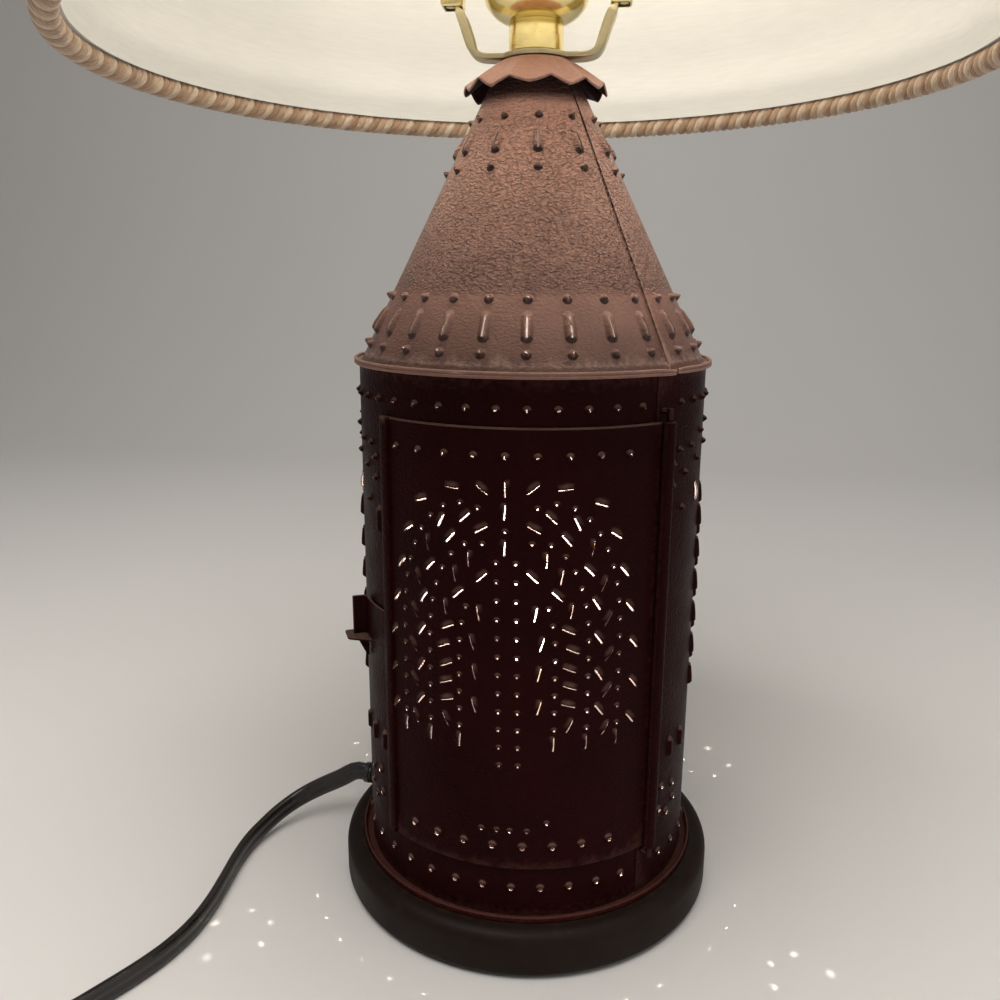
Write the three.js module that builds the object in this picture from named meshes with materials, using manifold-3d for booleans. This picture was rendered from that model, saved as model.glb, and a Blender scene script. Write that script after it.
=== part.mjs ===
// Table lamp: a punched tin lantern on a turned wood base, with a night light inside the lantern,
// a socket, harp and lined shade on top, and a flat twin cord that ends in a plug.
// Millimetres, +Z up. The origin is on the table under the lamp's axis, and the door faces -Y.
// An azimuth is an angle in degrees about the axis: 0 is the middle of the door, and it grows towards +X.

import * as THREE from 'three';
import { mergeVertices } from 'three/addons/utils/BufferGeometryUtils.js';
import Module from 'manifold-3d';

const wasm = await Module();
wasm.setup();

// Fits and stock
const CLEARANCE = 0.3;
const TIN = 0.8;
const MERGE_TOLERANCE = 1e-4;

// Roundness, in sides
const LARGE_ROUND = 44;
const MEDIUM_ROUND = 24;
const SMALL_ROUND = 16;
const WIRE_ROUND = 6;

// Wood base and felt
const FELT_THICKNESS = 1.5;
const FELT_INSET = 5;
const BASE_RADIUS = 67;
const BASE_HEIGHT = 15.1;
const BASE_EDGE_ROUND = 4.5;
const BASE_FOOT_CHAMFER = 1.6;
const PAN_RECESS_DEPTH = 1;
const NUT_POCKET_DEPTH = 8;

// Lamp pipe, nuts and washers
const PIPE_RADIUS = 4.8;
const PIPE_BORE = 3;
const NUT_RADIUS = 8;
const NUT_HEIGHT = 3.6;
const WASHER_RADIUS = 9.4;
const WASHER_THICKNESS = 1.2;
const PIPE_PAST_NUT = 1;

// Lantern body and its pan
const BODY_RADIUS = 57.4;
const BODY_HEIGHT = 170.7;
const PAN_MARGIN = 2.5;
const PAN_RIM_HEIGHT = 2;

// Door, its folded edge and its wire hinge
const DOOR_HALF_ANGLE = 46.75;
const DOOR_RISE = 17.7;
const DOOR_DROP = 13;
const DOOR_LAP = 4;
const FOLD_WIDTH = 4.6;
const FOLD_HEIGHT = 1.2;
const HINGE_WIRE_RADIUS = 1;
const HINGE_PLAY = 0.35;
const HINGE_WIRE_PAST_ROLL = 2;

// Latch
const HASP_MIDDLE = 104.4;
const HASP_HEIGHT = 13.3;
const HASP_ANGLE = 19.3;
const HASP_LIP = 6.5;
const KEEPER_REACH = 7.6;
const KEEPER_DROP = 8.4;
const KEEPER_WIDTH = 8;

// Punched pattern of the door: rows of slits that rise beside a middle line, arch over and hang down.
// Distances run along the tin from the pattern's middle line, and heights from the door's lower edge.
const SLIT_LENGTH = 5.2;
const SLIT_WIDTH = 1.1;
const PATTERN_FOOT = 46;
const ROW_FIRST_WIDTH = 9.7;
const ROW_STEP = 5.15;
const CREST_FIRST = 89;
const CREST_STEP = 5.7;
const LOBE_FIRST = 2.8;
const LOBE_STEP = 2.2;
const SPRING_FIRST = 69.5;
const SPRING_STEP = 1.6;
const LOBE_START = 102;
const MIDDLE_SLITS = [104.5, 115.3, 122];
const MIDDLE_OFFSET = -2;
const PATTERN_OFFSET = -0.5;
const SLIT_ROWS = [
  { row: 0, pitch: 10, crestLean: 0, columnLean: 0, swing: 0 },
  { row: 2, pitch: 6, crestLean: 75, columnLean: 90, swing: 0 },
  { row: 4, pitch: 6, crestLean: 0, columnLean: 0, swing: 36 },
  { row: 6, pitch: 11.5, crestLean: 0, columnLean: 40, swing: 0 },
];

// Cone roof and crimped cap
const BEAD_RADIUS = 1.65;
const CONE_STEP_IN = 1.6;
const CONE_LIP_RISE = 1.1;
const CONE_HEIGHT = 88.3;
const CONE_TOP_RADIUS = 12.2;
const CAP_FLAT_RADIUS = 10.2;
const CAP_RIM_RADIUS = 22.6;
const CAP_DROP = 8.6;
const PLEATS = 12;
const PLEAT_DEPTH = 1.4;
const PLEAT_STEPS = 6;

// Harp saddle, neck, harp and finial
const SADDLE_THICKNESS = 1.5;
const SADDLE_WIDTH = 9;
const SADDLE_FLAT = 18.6;
const SADDLE_HUB_MARGIN = 1.5;
const SADDLE_REACH = 25.2;
const SADDLE_ARM_RIB = 1.3;
const SADDLE_RISE = 14.4;
const TAB_WIDTH = 5.2;
const TAB_HEIGHT = 10;
const NECK_RADIUS = 8.5;
const NECK_HEIGHT = 8.6;
const NECK_WALL = 1;
const HARP_WIRE_RADIUS = 1.4;
const HARP_HEIGHT = 204.7;
const HARP_HALF_WIDTH = 56.5;
const HARP_STEPS = 46;
const SLEEVE_HEIGHT = 14;
const SLEEVE_WALL = 0.8;
const SLEEVE_TRAVEL = 12;
const STUD_RADIUS = 3.2;
const STUD_HEIGHT = 14;
const STUD_SEAT_RADIUS = 7;
const STUD_SEAT_HEIGHT = 1.6;
const FINIAL_HEIGHT = 26;
const FINIAL_RADIUS = 8;

// Lamp socket
const BULB_SCREW_RADIUS = 12.9;
const SCREW_SHELL_WALL = 0.5;
const LINER_WALL = 0.5;
const SOCKET_WALL = 0.6;
const SOCKET_CAP_HEIGHT = 16.5;
const SOCKET_CAP_SWELL = 6;
const SOCKET_SHELL_HEIGHT = 46;
const SOCKET_SHELL_LAP = 8;
const INTERIOR_HEIGHT = 17;
const KNOB_RISE = 12.5;
const KNOB_STEM_RADIUS = 2;
const KNOB_REACH = 34;
const KNOB_PADDLE_LENGTH = 12;
const KNOB_PADDLE_WIDTH = 14;
const KNOB_PADDLE_THICKNESS = 6;
const TERMINAL_RADIUS = 2.4;
const TERMINAL_SPACING = 17;
const TERMINAL_HEIGHT = 2;

// Main bulb
const BULB_SCREW_HEIGHT = 25;
const BULB_RADIUS = 30;
const BULB_NECK_RADIUS = 12.5;
const BULB_HEIGHT = 80;
const GLASS_WALL = 1;

// Night light
const CANDLE_RADIUS = 11.2;
const CANDLE_WALL = 1;
const CANDLE_HEIGHT = 63.5;
const NIGHT_SOCKET_RISE = 7;
const NIGHT_SCREW_RADIUS = 5.95;
const NIGHT_SCREW_HEIGHT = 22;
const NIGHT_BULB_RADIUS = 11;
const NIGHT_BULB_NECK = 5.6;
const NIGHT_BULB_HEIGHT = 38;
const NIGHT_SEAT_WALL = 2;

// Shade
const SHADE_BOTTOM_RADIUS = 139;
const SHADE_TOP_RADIUS = 70;
const SHADE_HEIGHT = 208;
const SHADE_WALL = 1;
const SHADE_WIRE_RADIUS = 1.5;
const SHADE_RING_INSET = 3.5;
const SPIDER_RECESS = 3.5;
const SPIDER_ARMS = 3;
const SPIDER_WASHER_RADIUS = 12;
const SPIDER_WASHER_THICKNESS = 1.5;
const ROPE_RADIUS_BOTTOM = 3.8;
const ROPE_RADIUS_TOP = 3.2;

// Cord, coil, tie and plug
const CORD_WIDTH = 7;
const CORD_THICKNESS = 3.6;
const CORD_SIDES = 10;
const CORD_STEPS = 26;
const EXIT_AZIMUTH = -99;
const EXIT_RISE = 7.3;
const BUSHING_RADIUS = 4.1;
const BUSHING_FLANGE = 1.6;
const BUSHING_NOSE = 6;
const BUSHING_TAIL = 12;
const BUSHING_TIP_RADIUS = 3.9;
const LEAD_RADIUS = 1.2;
const COIL_CENTRE = [-112, -157];
const COIL_INNER = 32.6;
const COIL_OUTER = 46.8;
const COIL_TURNS = 6.349;
const COIL_START = 144.4;
const COIL_LIFT = 1.4;
const COIL_LAYER_GAP = 0.6;
const COIL_CLIMB_DIP = 2.2;
const COIL_STEPS_PER_TURN = 24;
const COIL_LEAD_IN = 7;
const TAIL_LEVEL = 21;
const TAIL_RAMP = 26;
const TIE_THICKNESS = 1;
const TIE_WIDTH = 8;
const TIE_AZIMUTH = 20;
const PLUG_LENGTH = 30;
const PLUG_WIDTH = 22;
const PLUG_THICKNESS = 13;
const PLUG_NECK_LENGTH = 9;
const BLADE_LENGTH = 16;
const BLADE_HEIGHT = 6.35;
const BLADE_THICKNESS = 1.5;
const BLADE_SPACING = 12.7;

// The stretch of cord that lies free, from just outside the bushing to a cord's width before
// the coil, as x, y, z
const CORD_ROUTE = [
  [-75.8, 11.8, 19.4],
  [-84.6, 12.8, 14.3],
  [-92.4, 10.6, 10.3],
  [-98.6, 4.6, 7.4],
  [-103.0, -4.2, 5.3],
  [-105.3, -12.0, 4.3],
  [-106.1, -22.0, 3.8],
  [-105.7, -34.6, 3.7],
  [-105.5, -48.0, 3.7],
  [-106.9, -60.6, 3.7],
  [-110.3, -71.4, 3.7],
  [-114.6, -80.0, 3.7],
  [-119.8, -88.4, 3.7],
  [-126.0, -98.0, 3.8],
  [-132.6, -107.4, 4.2],
];

// Heights, from the table up
const baseBottom = FELT_THICKNESS;
const baseTop = baseBottom + BASE_HEIGHT;
const panBottom = baseTop - PAN_RECESS_DEPTH;
const panFloor = panBottom + TIN;
const bodyBottom = panFloor + CLEARANCE;
const bodyTop = bodyBottom + BODY_HEIGHT;
const bodyInner = BODY_RADIUS - TIN;
const doorBottom = bodyBottom + DOOR_RISE;
const doorTop = bodyTop - DOOR_DROP;
const doorInner = BODY_RADIUS + CLEARANCE;
const doorOuter = doorInner + TIN;
const hingeBore = HINGE_WIRE_RADIUS + HINGE_PLAY;
const rollRadius = hingeBore + TIN;
const hingeRadius = doorInner + rollRadius;
const beadZ = bodyTop + CLEARANCE + BEAD_RADIUS;
const coneFoot = beadZ + CONE_LIP_RISE;
const coneTop = beadZ + CONE_HEIGHT;
const coneFootRadius = BODY_RADIUS - CONE_STEP_IN;
const capSlope = CAP_DROP / (CAP_RIM_RADIUS - CAP_FLAT_RADIUS);
const capSeatRun = Math.max(CONE_TOP_RADIUS - CAP_FLAT_RADIUS, 0);
const capSeatPleat = PLEAT_DEPTH * capSeatRun / (CAP_RIM_RADIUS - CAP_FLAT_RADIUS);
const capMiddle = coneTop + CLEARANCE + TIN + capSlope * capSeatRun + capSeatPleat;
const saddleBottom = capMiddle + TIN / 2 + CLEARANCE;
const saddleTop = saddleBottom + SADDLE_THICKNESS;
const neckBottom = saddleTop + CLEARANCE;
const neckTop = neckBottom + NECK_HEIGHT;
const pipeHole = PIPE_RADIUS + CLEARANCE;
const socketBottom = neckTop + CLEARANCE;
const socketCapTop = socketBottom + SOCKET_CAP_HEIGHT;
const screwShellInner = BULB_SCREW_RADIUS + CLEARANCE;
const screwShellOuter = screwShellInner + SCREW_SHELL_WALL;
const linerInner = screwShellOuter + CLEARANCE;
const linerOuter = linerInner + LINER_WALL;
const shellInner = linerOuter + CLEARANCE;
const shellOuter = shellInner + SOCKET_WALL;
const socketCapInner = shellOuter + CLEARANCE;
const socketCapOuter = socketCapInner + SOCKET_WALL;
const shellBottom = socketCapTop - SOCKET_SHELL_LAP;
const shellTop = shellBottom + SOCKET_SHELL_HEIGHT;
const interiorBottom = shellBottom + CLEARANCE;
const interiorTop = interiorBottom + INTERIOR_HEIGHT;
const terminalBottom = interiorBottom - CLEARANCE - TERMINAL_HEIGHT;
const topPipeTop = terminalBottom - 2 * CLEARANCE;
const bulbScrewBottom = interiorTop + CLEARANCE;
const bulbScrewTop = bulbScrewBottom + BULB_SCREW_HEIGHT;
const bulbGlassBottom = bulbScrewTop + CLEARANCE;
const sleeveBottom = saddleBottom + SADDLE_RISE + 1;
const tabTop = sleeveBottom + TAB_HEIGHT;
const harpLegX = SADDLE_REACH + CLEARANCE + HARP_WIRE_RADIUS;
const legTop = sleeveBottom + SLEEVE_HEIGHT + SLEEVE_TRAVEL + 2;
const harpTop = saddleBottom + HARP_HEIGHT;
const studSeat = harpTop + HARP_WIRE_RADIUS + CLEARANCE;
const spiderSeat = studSeat + STUD_SEAT_HEIGHT + CLEARANCE;
const finialBottom = spiderSeat + SPIDER_WASHER_THICKNESS + CLEARANCE;
const studTop = studSeat + STUD_SEAT_HEIGHT + STUD_HEIGHT;
const shadeTop = spiderSeat + SPIDER_RECESS;
const shadeBottom = shadeTop - SHADE_HEIGHT;
const candleTop = panFloor + CLEARANCE + CANDLE_HEIGHT;
const nightSocketBottom = panFloor + NIGHT_SOCKET_RISE;
const nightSocketTop = candleTop - 4;
const nightSeat = nightSocketTop - NIGHT_SCREW_HEIGHT;
const basePipeTop = nightSocketBottom + NIGHT_SOCKET_RISE;
const exitZ = bodyBottom + EXIT_RISE;
const bushingTip = BODY_RADIUS + CLEARANCE + BUSHING_FLANGE + BUSHING_NOSE;

// Finishes
const finish = (color, roughness, metalness) => new THREE.MeshStandardMaterial({ color, roughness, metalness });
const TIN_PAINT = finish(0x4a201c, 0.55, 0.2);
const PAN_PAINT = finish(0x5a1712, 0.5, 0.2);
const DARK_WOOD = finish(0x2a1e18, 0.6, 0);
const FELT = finish(0x23301f, 0.95, 0);
const BRASS = finish(0xc9a23f, 0.25, 1);
const STEEL = finish(0x9c9686, 0.35, 1);
const PHENOLIC = finish(0x15120f, 0.5, 0);
const CARD = finish(0xb9a887, 0.9, 0);
const CANDLE = finish(0xeee3c4, 0.6, 0);
const GLASS = finish(0xfff3dc, 0.15, 0);
const LINEN = finish(0xe6dcc6, 0.95, 0);
const ROPE = finish(0xa97f58, 0.95, 0);
const CORD = finish(0x1e1613, 0.5, 0);

const lamp = new THREE.Group();

// Adds one named piece to the lamp, or to a group inside it.
function piece(name, geometry, material, parent = lamp) {
  const mesh = new THREE.Mesh(geometry, material);
  mesh.name = name;
  parent.add(mesh);
  return mesh;
}

// Turns a geometry into one closed skin: shared corners merged, slivers dropped, faces outwards.
function closedSkin(geometry) {
  geometry.deleteAttribute('normal');
  geometry.deleteAttribute('uv');
  const merged = mergeVertices(geometry, MERGE_TOLERANCE);
  const position = merged.attributes.position;
  const kept = [];
  let volume = 0;
  const corner = [new THREE.Vector3(), new THREE.Vector3(), new THREE.Vector3()];
  for (let start = 0; start < merged.index.count; start += 3) {
    const face = [0, 1, 2].map((offset) => merged.index.getX(start + offset));
    if (new Set(face).size < 3) continue;
    kept.push(...face);
    face.forEach((vertex, side) => corner[side].fromBufferAttribute(position, vertex));
    volume += corner[0].dot(corner[1].cross(corner[2]));
  }
  merged.setIndex(volume < 0 ? kept.reverse() : kept);
  merged.computeVertexNormals();
  return merged;
}

function toSolid(geometry) {
  const skin = closedSkin(geometry.clone());
  return new wasm.Manifold(new wasm.Mesh({
    numProp: 3,
    vertProperties: new Float32Array(skin.attributes.position.array),
    triVerts: new Uint32Array(skin.index.array),
  }));
}

function fromSolid(solid) {
  const mesh = solid.getMesh();
  const geometry = new THREE.BufferGeometry();
  geometry.setAttribute('position', new THREE.BufferAttribute(new Float32Array(mesh.vertProperties), 3));
  geometry.setIndex(new THREE.BufferAttribute(new Uint32Array(mesh.triVerts), 1));
  geometry.computeVertexNormals();
  return geometry;
}

function join(...geometries) {
  return fromSolid(geometries.map(toSolid).reduce((sum, next) => sum.add(next)));
}

function cut(geometry, ...cutters) {
  return fromSolid(cutters.reduce((left, cutter) => left.subtract(toSolid(cutter)), toSolid(geometry)));
}

// A closed outline of [radius, z] pairs turned about the axis
function turned(outline, sides = MEDIUM_ROUND) {
  const points = [...outline, outline[0]].map(([radius, z]) => new THREE.Vector2(radius, z));
  return closedSkin(new THREE.LatheGeometry(points, sides).rotateX(Math.PI / 2));
}

// A straight tube about the axis
function pipe(inner, outer, bottom, top, sides = MEDIUM_ROUND) {
  return turned([[inner, bottom], [outer, bottom], [outer, top], [inner, top]], sides);
}

// A flat outline through [x, y] pairs, always counter-clockwise
function outlineShape(points) {
  const corners = points.map(([x, y]) => new THREE.Vector2(x, y));
  return new THREE.Shape(THREE.ShapeUtils.isClockWise(corners) ? corners.reverse() : corners);
}

// A flat outline raised from bottom to top
function raised(shape, bottom, top, curveSegments = MEDIUM_ROUND) {
  const geometry = new THREE.ExtrudeGeometry(shape, { depth: top - bottom, bevelEnabled: false, curveSegments });
  return closedSkin(geometry.translate(0, 0, bottom));
}

// A hexagon nut with a round hole
function nut(bottom, top) {
  const corners = Array.from({ length: 6 }, (_, side) => {
    const angle = THREE.MathUtils.degToRad(60 * side);
    return [NUT_RADIUS * Math.cos(angle), NUT_RADIUS * Math.sin(angle)];
  });
  const shape = outlineShape(corners);
  shape.holes.push(new THREE.Path().absarc(0, 0, pipeHole, 0, 2 * Math.PI, true));
  return raised(shape, bottom, top, SMALL_ROUND / 2);
}

// A round bar between two points
function bar(from, to, radius, sides = SMALL_ROUND) {
  const along = to.clone().sub(from);
  const geometry = new THREE.CylinderGeometry(radius, radius, along.length(), sides);
  const turn = new THREE.Quaternion().setFromUnitVectors(new THREE.Vector3(0, 1, 0), along.clone().normalize());
  geometry.applyQuaternion(turn);
  const middle = from.clone().addScaledVector(along, 0.5);
  return closedSkin(geometry.translate(middle.x, middle.y, middle.z));
}

// A section swept along a smooth path through points
function swept(section, points, steps) {
  const extrudePath = new THREE.CatmullRomCurve3(points, false, 'centripetal');
  return closedSkin(new THREE.ExtrudeGeometry(section, { steps, bevelEnabled: false, extrudePath }));
}

function ovalSection(halfX, halfY, sides) {
  const corners = Array.from({ length: sides }, (_, side) => {
    const angle = 2 * Math.PI * side / sides;
    return [halfX * Math.cos(angle), halfY * Math.sin(angle)];
  });
  return outlineShape(corners);
}

function ring(radius, wireRadius, z, sides = LARGE_ROUND) {
  return closedSkin(new THREE.TorusGeometry(radius, wireRadius, WIRE_ROUND, sides).translate(0, 0, z));
}

// A point at an azimuth in degrees, a distance from the axis and a height
function around(azimuth, radius, z) {
  const angle = THREE.MathUtils.degToRad(azimuth);
  return new THREE.Vector3(radius * Math.sin(angle), -radius * Math.cos(angle), z);
}

// Frame on the lantern's wall: x along the wall, y up, z straight out
function wallFrame(azimuth) {
  const outward = around(azimuth, 1, 0);
  const up = new THREE.Vector3(0, 0, 1);
  return new THREE.Matrix4().makeBasis(new THREE.Vector3().crossVectors(up, outward), up, outward);
}

// A curved sheet on the lantern's wall between two azimuths
function wallSheet(inner, outer, from, to, bottom, top) {
  const steps = Math.max(2, Math.round(LARGE_ROUND * (to - from) / 360));
  const side = (radius) => Array.from({ length: steps + 1 }, (_, step) => {
    const point = around(from + (to - from) * step / steps, radius, 0);
    return [point.x, point.y];
  });
  return raised(outlineShape([...side(outer), ...side(inner).reverse()]), bottom, top);
}

// The angle that a distance along the wall spans
function wallAngle(distance, radius = BODY_RADIUS) {
  return THREE.MathUtils.radToDeg(distance / radius);
}

function buildBase() {
  const feltRadius = BASE_RADIUS - FELT_INSET;
  piece('felt_pad', turned([[0, 0], [feltRadius, 0], [feltRadius, FELT_THICKNESS], [0, FELT_THICKNESS]],
    LARGE_ROUND), FELT);

  const recess = BODY_RADIUS + PAN_MARGIN + TIN + CLEARANCE;
  const pocketTop = baseBottom + NUT_POCKET_DEPTH;
  const edge = [0, 30, 60, 90].map((angle) => {
    const turn = THREE.MathUtils.degToRad(angle);
    const middle = BASE_RADIUS - BASE_EDGE_ROUND;
    return [middle + BASE_EDGE_ROUND * Math.cos(turn), baseTop - BASE_EDGE_ROUND * (1 - Math.sin(turn))];
  });
  const block = turned([
    [pipeHole, pocketTop],
    [WASHER_RADIUS + 2, pocketTop],
    [WASHER_RADIUS + 2, baseBottom],
    [BASE_RADIUS - BASE_FOOT_CHAMFER, baseBottom],
    [BASE_RADIUS, baseBottom + BASE_FOOT_CHAMFER],
    ...edge,
    [pipeHole, baseTop],
  ], LARGE_ROUND);
  piece('wood_base', cut(block, pipe(0, recess, panBottom, baseTop + PAN_RECESS_DEPTH, LARGE_ROUND)), DARK_WOOD);

  const washerTop = pocketTop - CLEARANCE;
  const washerBottom = washerTop - WASHER_THICKNESS;
  const nutTop = washerBottom - CLEARANCE;
  piece('base_washer', pipe(pipeHole, WASHER_RADIUS, washerBottom, washerTop), STEEL);
  piece('base_nut', nut(nutTop - NUT_HEIGHT, nutTop), STEEL);
  piece('base_nipple', pipe(PIPE_BORE, PIPE_RADIUS, nutTop - NUT_HEIGHT - PIPE_PAST_NUT, basePipeTop), STEEL);
}

function buildPan() {
  const rimInner = BODY_RADIUS + PAN_MARGIN;
  const rimOuter = rimInner + TIN;
  piece('bottom_pan', turned([
    [pipeHole, panBottom],
    [rimOuter, panBottom],
    [rimOuter, panFloor + PAN_RIM_HEIGHT],
    [rimInner, panFloor + PAN_RIM_HEIGHT],
    [rimInner, panFloor],
    [pipeHole, panFloor],
  ], LARGE_ROUND), PAN_PAINT);
  const locknutBottom = panFloor + CLEARANCE;
  piece('pan_locknut', nut(locknutBottom, locknutBottom + NUT_HEIGHT), STEEL);
}

function buildNightLight() {
  const socketOuter = CANDLE_RADIUS - CANDLE_WALL - CLEARANCE;
  const screwBore = NIGHT_SCREW_RADIUS + CLEARANCE;
  const pipeSeat = basePipeTop + CLEARANCE;
  piece('night_socket', turned([
    [0, pipeSeat],
    [pipeHole, pipeSeat],
    [pipeHole, nightSocketBottom],
    [socketOuter, nightSocketBottom],
    [socketOuter, nightSocketTop],
    [screwBore, nightSocketTop],
    [screwBore, nightSeat],
    [0, nightSeat],
  ], SMALL_ROUND), PHENOLIC);

  const sleeve = pipe(CANDLE_RADIUS - CANDLE_WALL, CANDLE_RADIUS, panFloor + CLEARANCE, candleTop);
  const leadHole = bar(around(EXIT_AZIMUTH, socketOuter, exitZ), around(EXIT_AZIMUTH, CANDLE_RADIUS + 2, exitZ),
    LEAD_RADIUS + 2 * CLEARANCE, SMALL_ROUND / 2);
  piece('candle_sleeve', cut(sleeve, leadHole), CANDLE);

  const screwBottom = nightSeat + CLEARANCE;
  const screwTop = nightSocketTop + NIGHT_SEAT_WALL;
  piece('night_bulb_cap', turned([
    [0, screwBottom],
    [NIGHT_SCREW_RADIUS / 2, screwBottom],
    [NIGHT_SCREW_RADIUS, screwBottom + NIGHT_SCREW_RADIUS / 2],
    [NIGHT_SCREW_RADIUS, screwTop],
    [0, screwTop],
  ], SMALL_ROUND), BRASS);
  piece('night_bulb_glass', bulbGlass(screwTop + CLEARANCE, NIGHT_BULB_NECK, NIGHT_BULB_RADIUS,
    NIGHT_BULB_HEIGHT, SMALL_ROUND), GLASS);
}

// A blown glass bulb, open at its neck: a straight neck, a widening throat and a round end
function bulbGlass(bottom, neck, radius, height, sides) {
  const centre = bottom + height - radius;
  const side = (shrink) => {
    const crown = [-40, -10, 20, 50, 75].map((angle) => {
      const turn = THREE.MathUtils.degToRad(angle);
      return [(radius - shrink) * Math.cos(turn), centre + (radius - shrink) * Math.sin(turn)];
    });
    return [[neck - shrink, bottom], [neck - shrink, bottom + 0.12 * height], ...crown, [0, centre + radius - shrink]];
  };
  return turned([...side(0), ...side(GLASS_WALL).reverse()], sides);
}

function buildBody() {
  const openingHalf = DOOR_HALF_ANGLE - wallAngle(DOOR_LAP);
  const wall = pipe(bodyInner, BODY_RADIUS, bodyBottom, bodyTop, LARGE_ROUND);
  const opening = wallSheet(bodyInner - 2, BODY_RADIUS + 2, -openingHalf, openingHalf,
    doorBottom + DOOR_LAP, doorTop - DOOR_LAP);
  const wireHoles = hingeEnds().map((z) => bar(around(DOOR_HALF_ANGLE, bodyInner - 2, z),
    around(DOOR_HALF_ANGLE, BODY_RADIUS + 2, z), HINGE_WIRE_RADIUS + CLEARANCE, SMALL_ROUND / 2));
  const cordHole = bar(around(EXIT_AZIMUTH, bodyInner - 2, exitZ), around(EXIT_AZIMUTH, BODY_RADIUS + 2, exitZ),
    BUSHING_RADIUS + CLEARANCE);
  piece('lantern_body', cut(wall, opening, ...wireHoles, cordHole), TIN_PAINT);
}

// Heights of the two bent ends of the hinge wire
function hingeEnds() {
  const past = HINGE_WIRE_PAST_ROLL + HINGE_WIRE_RADIUS;
  return [doorBottom - past, doorTop + past];
}

function buildHingeWire() {
  const [low, high] = hingeEnds();
  const post = bar(around(DOOR_HALF_ANGLE, hingeRadius, low - HINGE_WIRE_RADIUS),
    around(DOOR_HALF_ANGLE, hingeRadius, high + HINGE_WIRE_RADIUS), HINGE_WIRE_RADIUS);
  const ends = [low, high].map((z) => bar(around(DOOR_HALF_ANGLE, bodyInner - 2, z),
    around(DOOR_HALF_ANGLE, hingeRadius, z), HINGE_WIRE_RADIUS, SMALL_ROUND / 2));
  piece('hinge_wire', join(post, ...ends), STEEL);
}

// One row of the punched pattern: places along the row on one side of the middle line
function patternRow({ row, pitch, crestLean, columnLean, swing }) {
  const width = ROW_FIRST_WIDTH + row * ROW_STEP;
  const lobe = LOBE_FIRST + row * LOBE_STEP;
  const spring = SPRING_FIRST + row * SPRING_STEP;
  const crest = CREST_FIRST + row * CREST_STEP;
  const path = new THREE.Path();
  path.absellipse(lobe, spring, width - lobe, crest - spring, THREE.MathUtils.degToRad(LOBE_START), 0, true);
  path.lineTo(width, PATTERN_FOOT);
  const count = Math.round(path.getLength() / pitch);
  return Array.from({ length: count }, (_, mark) => {
    const share = (mark + 0.5) / count;
    const point = path.getPointAt(share);
    const heading = path.getTangentAt(share);
    const lean = (point.y > spring ? crestLean : columnLean) + (mark % 2 ? swing : -swing);
    const tilt = Math.atan2(heading.y, heading.x) + THREE.MathUtils.degToRad(lean);
    return { distance: point.x, height: point.y, tilt };
  });
}

function slitCutter(distance, height, tilt) {
  const blade = new THREE.BoxGeometry(SLIT_LENGTH, SLIT_WIDTH, 6 * TIN).rotateZ(tilt);
  blade.translate(0, doorBottom + height, (doorInner + doorOuter) / 2);
  return blade.applyMatrix4(wallFrame(wallAngle(distance, doorOuter)));
}

function doorSlits() {
  const sides = SLIT_ROWS.flatMap(patternRow);
  return [
    ...sides.map(({ distance, height, tilt }) => slitCutter(PATTERN_OFFSET + distance, height, tilt)),
    ...sides.map(({ distance, height, tilt }) => slitCutter(PATTERN_OFFSET - distance, height, -tilt)),
    ...MIDDLE_SLITS.map((height) => slitCutter(MIDDLE_OFFSET, height, Math.PI / 2)),
  ];
}

function buildDoor() {
  const sheet = wallSheet(doorInner, doorOuter, -DOOR_HALF_ANGLE, DOOR_HALF_ANGLE, doorBottom, doorTop);
  const foldEnd = -DOOR_HALF_ANGLE + wallAngle(FOLD_WIDTH);
  const fold = wallSheet(doorInner + TIN / 2, doorOuter + FOLD_HEIGHT, -DOOR_HALF_ANGLE, foldEnd, doorBottom, doorTop);
  const axis = around(DOOR_HALF_ANGLE, hingeRadius, 0);
  const roll = pipe(hingeBore, rollRadius, doorBottom, doorTop, SMALL_ROUND).translate(axis.x, axis.y, 0);
  const bore = pipe(0, hingeBore, doorBottom - 1, doorTop + 1, SMALL_ROUND).translate(axis.x, axis.y, 0);
  piece('door_panel', cut(join(sheet, fold, roll), bore, ...doorSlits()), TIN_PAINT);
}

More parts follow.
